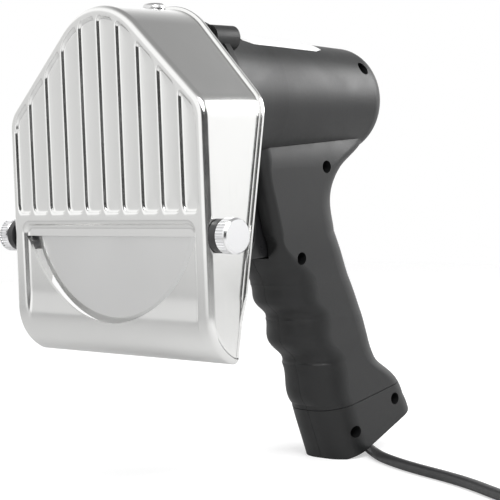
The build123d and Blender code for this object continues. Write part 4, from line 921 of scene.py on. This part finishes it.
class SLICER_OT_trigger(bpy.types.Operator):
    """Finish the trigger, its spring and the switch"""

    bl_idname = "slicer.trigger"
    bl_label = "Trigger and switch"

    def execute(self, context):
        dress("black_trim", "trigger", "switch_body")
        dress("machined_steel", "trigger_spring")
        return {"FINISHED"}


# The barrel in millimetres: height of its axis, and depth and radius where its flare ends and at its tail
BARREL_HEIGHT = 158.4
FLARE_START, FLARE_END, TAIL = 47.5, 79.0, 137.3
NECK_RADIUS, TAIL_RADIUS = 26.4, 23.3
FLARE, FLARE_POWER = 3.2, 1.6


def barrel_radius(depth):
    """Outside radius of the barrel's flare and taper, in millimetres."""
    if depth < FLARE_END:
        return NECK_RADIUS + FLARE * ((FLARE_END - depth) / (FLARE_END - FLARE_START)) ** FLARE_POWER
    return NECK_RADIUS + (TAIL_RADIUS - NECK_RADIUS) * (depth - FLARE_END) / (TAIL - FLARE_END)


# The label's corner radius and its gap to the barrel in millimetres, and how finely it is divided
LABEL_CORNER, LABEL_GAP = 2.0, 0.02
LABEL_ROWS, LABEL_COLUMNS = 10, 28


class SLICER_OT_label(bpy.types.Operator):
    """Lay the blank label over the top of the barrel"""

    bl_idname = "slicer.label"
    bl_label = "Blank label"

    def execute(self, context):
        sizes = context.scene.slicer_label
        start = sizes.start / MM
        end = sizes.end / MM
        thick = sizes.thickness / MM
        mesh = bpy.data.meshes.new("blank_label")
        work = bmesh.new()
        borders = []
        for lift in (LABEL_GAP, LABEL_GAP + thick):
            grid = []
            for depth in spaced(start, end, LABEL_ROWS):
                margin = max(LABEL_CORNER - min(depth - start, end - depth), 0.0)
                pull = LABEL_CORNER - math.sqrt(max(LABEL_CORNER ** 2 - margin ** 2, 0.0))
                radius = barrel_radius(depth) + lift
                reach = sizes.spread - pull / radius
                row = []
                for turn in spaced(-reach, reach, LABEL_COLUMNS):
                    height = BARREL_HEIGHT + radius * math.cos(turn)
                    row.append(work.verts.new(at(radius * math.sin(turn), depth, height)))
                grid.append(row)
            for first, second in zip(grid, grid[1:]):
                joined(work, first, second)
            right = [row[-1] for row in grid[:-1]]
            left = [row[0] for row in grid[:0:-1]]
            borders.append(grid[0][:-1] + right + grid[-1][:0:-1] + left + grid[0][:1])
        joined(work, *borders)
        bmesh.ops.recalc_face_normals(work, faces=work.faces)
        for face in work.faces:
            face.smooth = True
        work.to_mesh(mesh)
        work.free()
        new_piece("blank_label", mesh, "label_stock", "housing")
        return {"FINISHED"}


# Way of the lead over the surface, in millimetres from the ribbed face and the standing surface
LEAD_ROUTE = (
    (1.773, 148.023, 5.838), (5.343, 145.967, 2.3), (7.4, 143.6, 2.3), (12.6, 139.3, 2.3), (19.2, 134.3, 2.3),
    (27.6, 128.6, 2.3), (37.6, 123.7, 2.3), (49.6, 118.9, 2.3), (63.4, 114.5, 2.3), (78.4, 110.2, 2.3),
    (94.4, 104.2, 2.3), (109.0, 97.0, 2.3), (123.4, 90.5, 2.3), (138.4, 85.4, 2.3),
)


HALF_TURN_STEPS = 12
# The straight tail: its first point in millimetres and its second as a share of the tail
TAIL_START, TAIL_SHARE = 4.0, 0.6


def coil_points(sizes):
    """Points of the coil: in along the surface, up, and out again on top."""
    pitch = (sizes.diameter + sizes.loop_gap) / MM
    end = Vector(LEAD_ROUTE[-1])
    heading = (end - Vector(LEAD_ROUTE[-2])).normalized()
    across = Vector((-heading.y, heading.x, 0))
    radius = sizes.inner_radius / MM + sizes.loops * pitch
    lead = sizes.diameter / MM
    centre = radius
    sign = 1
    height = 0.0
    grow = 1 / math.cos(math.pi / HALF_TURN_STEPS / 2)
    points = []

    def arc(rise):
        for step in range(HALF_TURN_STEPS):
            turn = math.pi * (step + 0.5) / HALF_TURN_STEPS
            along = lead + sign * radius * grow * math.sin(turn)
            side = centre - sign * radius * grow * math.cos(turn)
            lift = height + rise * (1 - math.cos(turn)) / 2
            points.append(end + heading * along + across * side + Vector((0, 0, lift)))

    for _ in range(sizes.loops * 2):
        arc(0.0)
        centre += sign * pitch / 2
        radius -= pitch / 2
        sign = -sign
    arc(pitch)
    height = pitch
    sign = -sign
    for _ in range(sizes.loops * 2 - 1):
        centre -= sign * pitch / 2
        radius += pitch / 2
        arc(0.0)
        sign = -sign
    last = end + heading * lead + across * (centre - sign * radius) + Vector((0, 0, height))
    way = heading * sign
    tail = sizes.tail / MM
    return points + [last + way * reach for reach in (TAIL_START, tail * TAIL_SHARE, tail)]


class SLICER_OT_lead(bpy.types.Operator):
    """Lay the power lead and its coil along their route"""

    bl_idname = "slicer.lead"
    bl_label = "Power lead"

    def execute(self, context):
        sizes = context.scene.slicer_lead
        route = [*LEAD_ROUTE, *coil_points(sizes)]
        curve = bpy.data.curves.new("power_lead", "CURVE")
        curve.dimensions = "3D"
        curve.bevel_depth = 1.0
        curve.bevel_resolution = 6
        curve.resolution_u = 6
        curve.use_fill_caps = True
        line = curve.splines.new("NURBS")
        line.points.add(len(route) - 1)
        for point, spot in zip(line.points, route):
            point.co = (*at(*spot), 1.0)
            point.radius = sizes.diameter / 2
        line.order_u = 3
        line.use_endpoint_u = True
        curve.materials.append(finish_named("lead_jacket"))
        lead = add_object("power_lead", curve)
        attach(lead, "housing")
        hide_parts("power_cord", "cord_coil")
        length = measured(lead)
        return {"FINISHED"}


def measured(lead):
    """Length of a curve's own line."""
    bevel = lead.data.bevel_depth
    lead.data.bevel_depth = 0.0
    depsgraph = bpy.context.evaluated_depsgraph_get()
    mesh = bpy.data.meshes.new_from_object(lead.evaluated_get(depsgraph))
    total = 0.0
    for edge in mesh.edges:
        first, second = (mesh.vertices[index].co for index in edge.vertices)
        total += (first - second).length
    bpy.data.meshes.remove(mesh)
    lead.data.bevel_depth = bevel
    return total


class SLICER_OT_plug(bpy.types.Operator):
    """Finish the mains plug and its pins"""

    bl_idname = "slicer.plug"
    bl_label = "Mains plug"

    def execute(self, context):
        dress("lead_jacket", "mains_plug")
        dress("chromed_knob", "plug_pins")
        return {"FINISHED"}


# Stage

WHITE = (1.0, 1.0, 1.0, 1.0)


def floor_finish(lift):
    """Pale floor that keeps the shadow and looks white to the camera."""
    finish, tree, shader = start_finish("white_floor", (0.62, 0.62, 0.62), 0.0, 0.75)
    shader["Specular IOR Level"].default_value = 0.1
    seen = tree.nodes.new("ShaderNodeLightPath").outputs["Is Camera Ray"]
    glow = place(tree, "ShaderNodeEmission", Color=WHITE, Strength=number(tree, "MULTIPLY", seen, lift))
    total = tree.nodes.new("ShaderNodeAddShader")
    feed(tree, total.inputs[0], tree.nodes["Principled BSDF"].outputs[0])
    feed(tree, total.inputs[1], glow.outputs[0])
    feed(tree, tree.nodes["Material Output"].inputs["Surface"], total.outputs[0])
    return finish


def lobe(tree, ray, direction, inner, outer):
    """Mask that is one along a direction and falls to zero away from it."""
    near = vector(tree, "DOT_PRODUCT", ray, Vector(direction).normalized())
    mask = place(tree, "ShaderNodeMapRange", interpolation_type="SMOOTHSTEP", Value=near)
    mask.inputs["From Min"].default_value = math.cos(math.radians(outer))
    mask.inputs["From Max"].default_value = math.cos(math.radians(inner))
    return mask.outputs[0]


def mixed(tree, share, first, second):
    """A value between two others by a share."""
    return place(tree, "ShaderNodeMix", Factor=share, A=first, B=second).outputs["Result"]


# Parts of the surround that the bright metal reflects: direction, inner and outer half angle, grey
REFLECTED = (
    ((0.0, 0.30, 1.0), 20.0, 62.0, 0.34),
    ((-0.866, -0.50, 0.0), 8.0, 26.0, 0.78),
    ((0.94, -0.342, 0.0), 47.0, 58.0, 0.04),
)
# Brightness of the rest of what that metal reflects
REFLECTED_REST = 1.2


def studio_world(surround):
    """Even light for matt surfaces, a shaded surround for reflections and plain white for the camera."""
    world = bpy.data.worlds.new("studio")
    bpy.context.scene.world = world
    world.use_nodes = True
    tree = world.node_tree
    ray = tree.nodes.new("ShaderNodeTexCoord").outputs["Generated"]
    reflected = REFLECTED_REST
    for direction, inner, outer, grey in REFLECTED:
        reflected = mixed(tree, lobe(tree, ray, direction, inner, outer), reflected, grey)
    path = tree.nodes.new("ShaderNodeLightPath").outputs
    lit = mixed(tree, path["Is Glossy Ray"], surround, reflected)
    seen = number(tree, "MAXIMUM", path["Is Camera Ray"], path["Is Transmission Ray"])
    background = tree.nodes["Background"].inputs
    background["Color"].default_value = WHITE
    feed(tree, background["Strength"], mixed(tree, seen, lit, 1.0))


def add_lamp(name, place_mm, aim_mm, size, power):
    """A soft area lamp aimed at a point."""
    data = bpy.data.lights.new(name, "AREA")
    data.shape = "DISK"
    data.size = size
    data.energy = power
    lamp = add_object(name, data)
    lamp.location = at(*place_mm)
    lamp.rotation_euler = (at(*aim_mm) - lamp.location).to_track_quat("-Z", "Y").to_euler()


# The photograph's camera: its place in millimetres, and its own axes
CAMERA_PLACE = (442.25, -371.31, 128.81)
CAMERA_AXES = ((0.71505, 0.69811, -0.03655), (-0.01091, 0.06342, 0.99793), (0.69899, -0.71317, 0.05297))


class SLICER_OT_stage(bpy.types.Operator):
    """Set up the camera, lamps, surround and floor"""

    bl_idname = "slicer.stage"
    bl_label = "Studio and camera"

    def execute(self, context):
        scene = context.scene
        sizes = scene.slicer_view
        studio = scene.slicer_studio
        data = bpy.data.cameras.new("product_camera")
        data.lens = sizes.lens
        data.sensor_width = sizes.sensor
        data.clip_start = 0.01
        data.clip_end = 20
        camera = add_object("product_camera", data)
        turn = Matrix(CAMERA_AXES).transposed().to_4x4()
        camera.matrix_world = Matrix.Translation(at(*CAMERA_PLACE)) @ turn
        scene.camera = camera
        scene.view_settings.view_transform = "Standard"
        studio_world(studio.surround)
        add_lamp("key_lamp", (520, -180, 620), (20, 80, 110), 0.5, studio.key_power)
        add_lamp("rim_lamp", (320, 620, 420), (0, 110, 100), 0.4, studio.rim_power)
        half = studio.floor_size
        mesh = bpy.data.meshes.new("floor")
        square = [(x * half, y * half, STAND) for x, y in ((-1, -1), (1, -1), (1, 1), (-1, 1))]
        mesh.from_pydata(square, [], [(0, 1, 2, 3)])
        mesh.materials.append(floor_finish(studio.floor_lift))
        add_object("floor", mesh)
        return {"FINISHED"}


STEPS = (
    SLICER_OT_stage,
    SLICER_OT_lead,
    SLICER_OT_plug,
    SLICER_OT_guard,
    SLICER_OT_knobs,
    SLICER_OT_cutting,
    SLICER_OT_gearbox,
    SLICER_OT_motor,
    SLICER_OT_handle,
    SLICER_OT_trigger,
    SLICER_OT_label,
)


class SLICER_PT_looks(bpy.types.Panel):
    """Steps and settings of the slicer's looks."""

    bl_idname = "SLICER_PT_looks"
    bl_label = "Kebab slicer"
    bl_space_type = "VIEW_3D"
    bl_region_type = "UI"
    bl_category = "Slicer"

    def draw(self, context):
        for step in STEPS:
            self.layout.operator(step.bl_idname)
        for name, group in SETTINGS.items():
            box = self.layout.box()
            box.label(text=group.__doc__)
            for key in group.__annotations__:
                box.prop(getattr(context.scene, name), key)


def register():
    """Add the settings, steps and panel."""
    for name, group in SETTINGS.items():
        bpy.utils.register_class(group)
        setattr(bpy.types.Scene, name, PointerProperty(type=group))
    for step in STEPS:
        bpy.utils.register_class(step)
    bpy.utils.register_class(SLICER_PT_looks)


def unregister():
    """Take the settings, steps and panel away."""
    bpy.utils.unregister_class(SLICER_PT_looks)
    for step in reversed(STEPS):
        bpy.utils.unregister_class(step)
    for name, group in SETTINGS.items():
        delattr(bpy.types.Scene, name)
        bpy.utils.unregister_class(group)


def main():
    """Dress the slicer."""
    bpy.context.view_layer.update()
    register()
    for step in STEPS:
        group, name = step.bl_idname.split(".")
        getattr(getattr(bpy.ops, group), name)()
    bpy.context.view_layer.update()


if __name__ == "__main__":
    main()
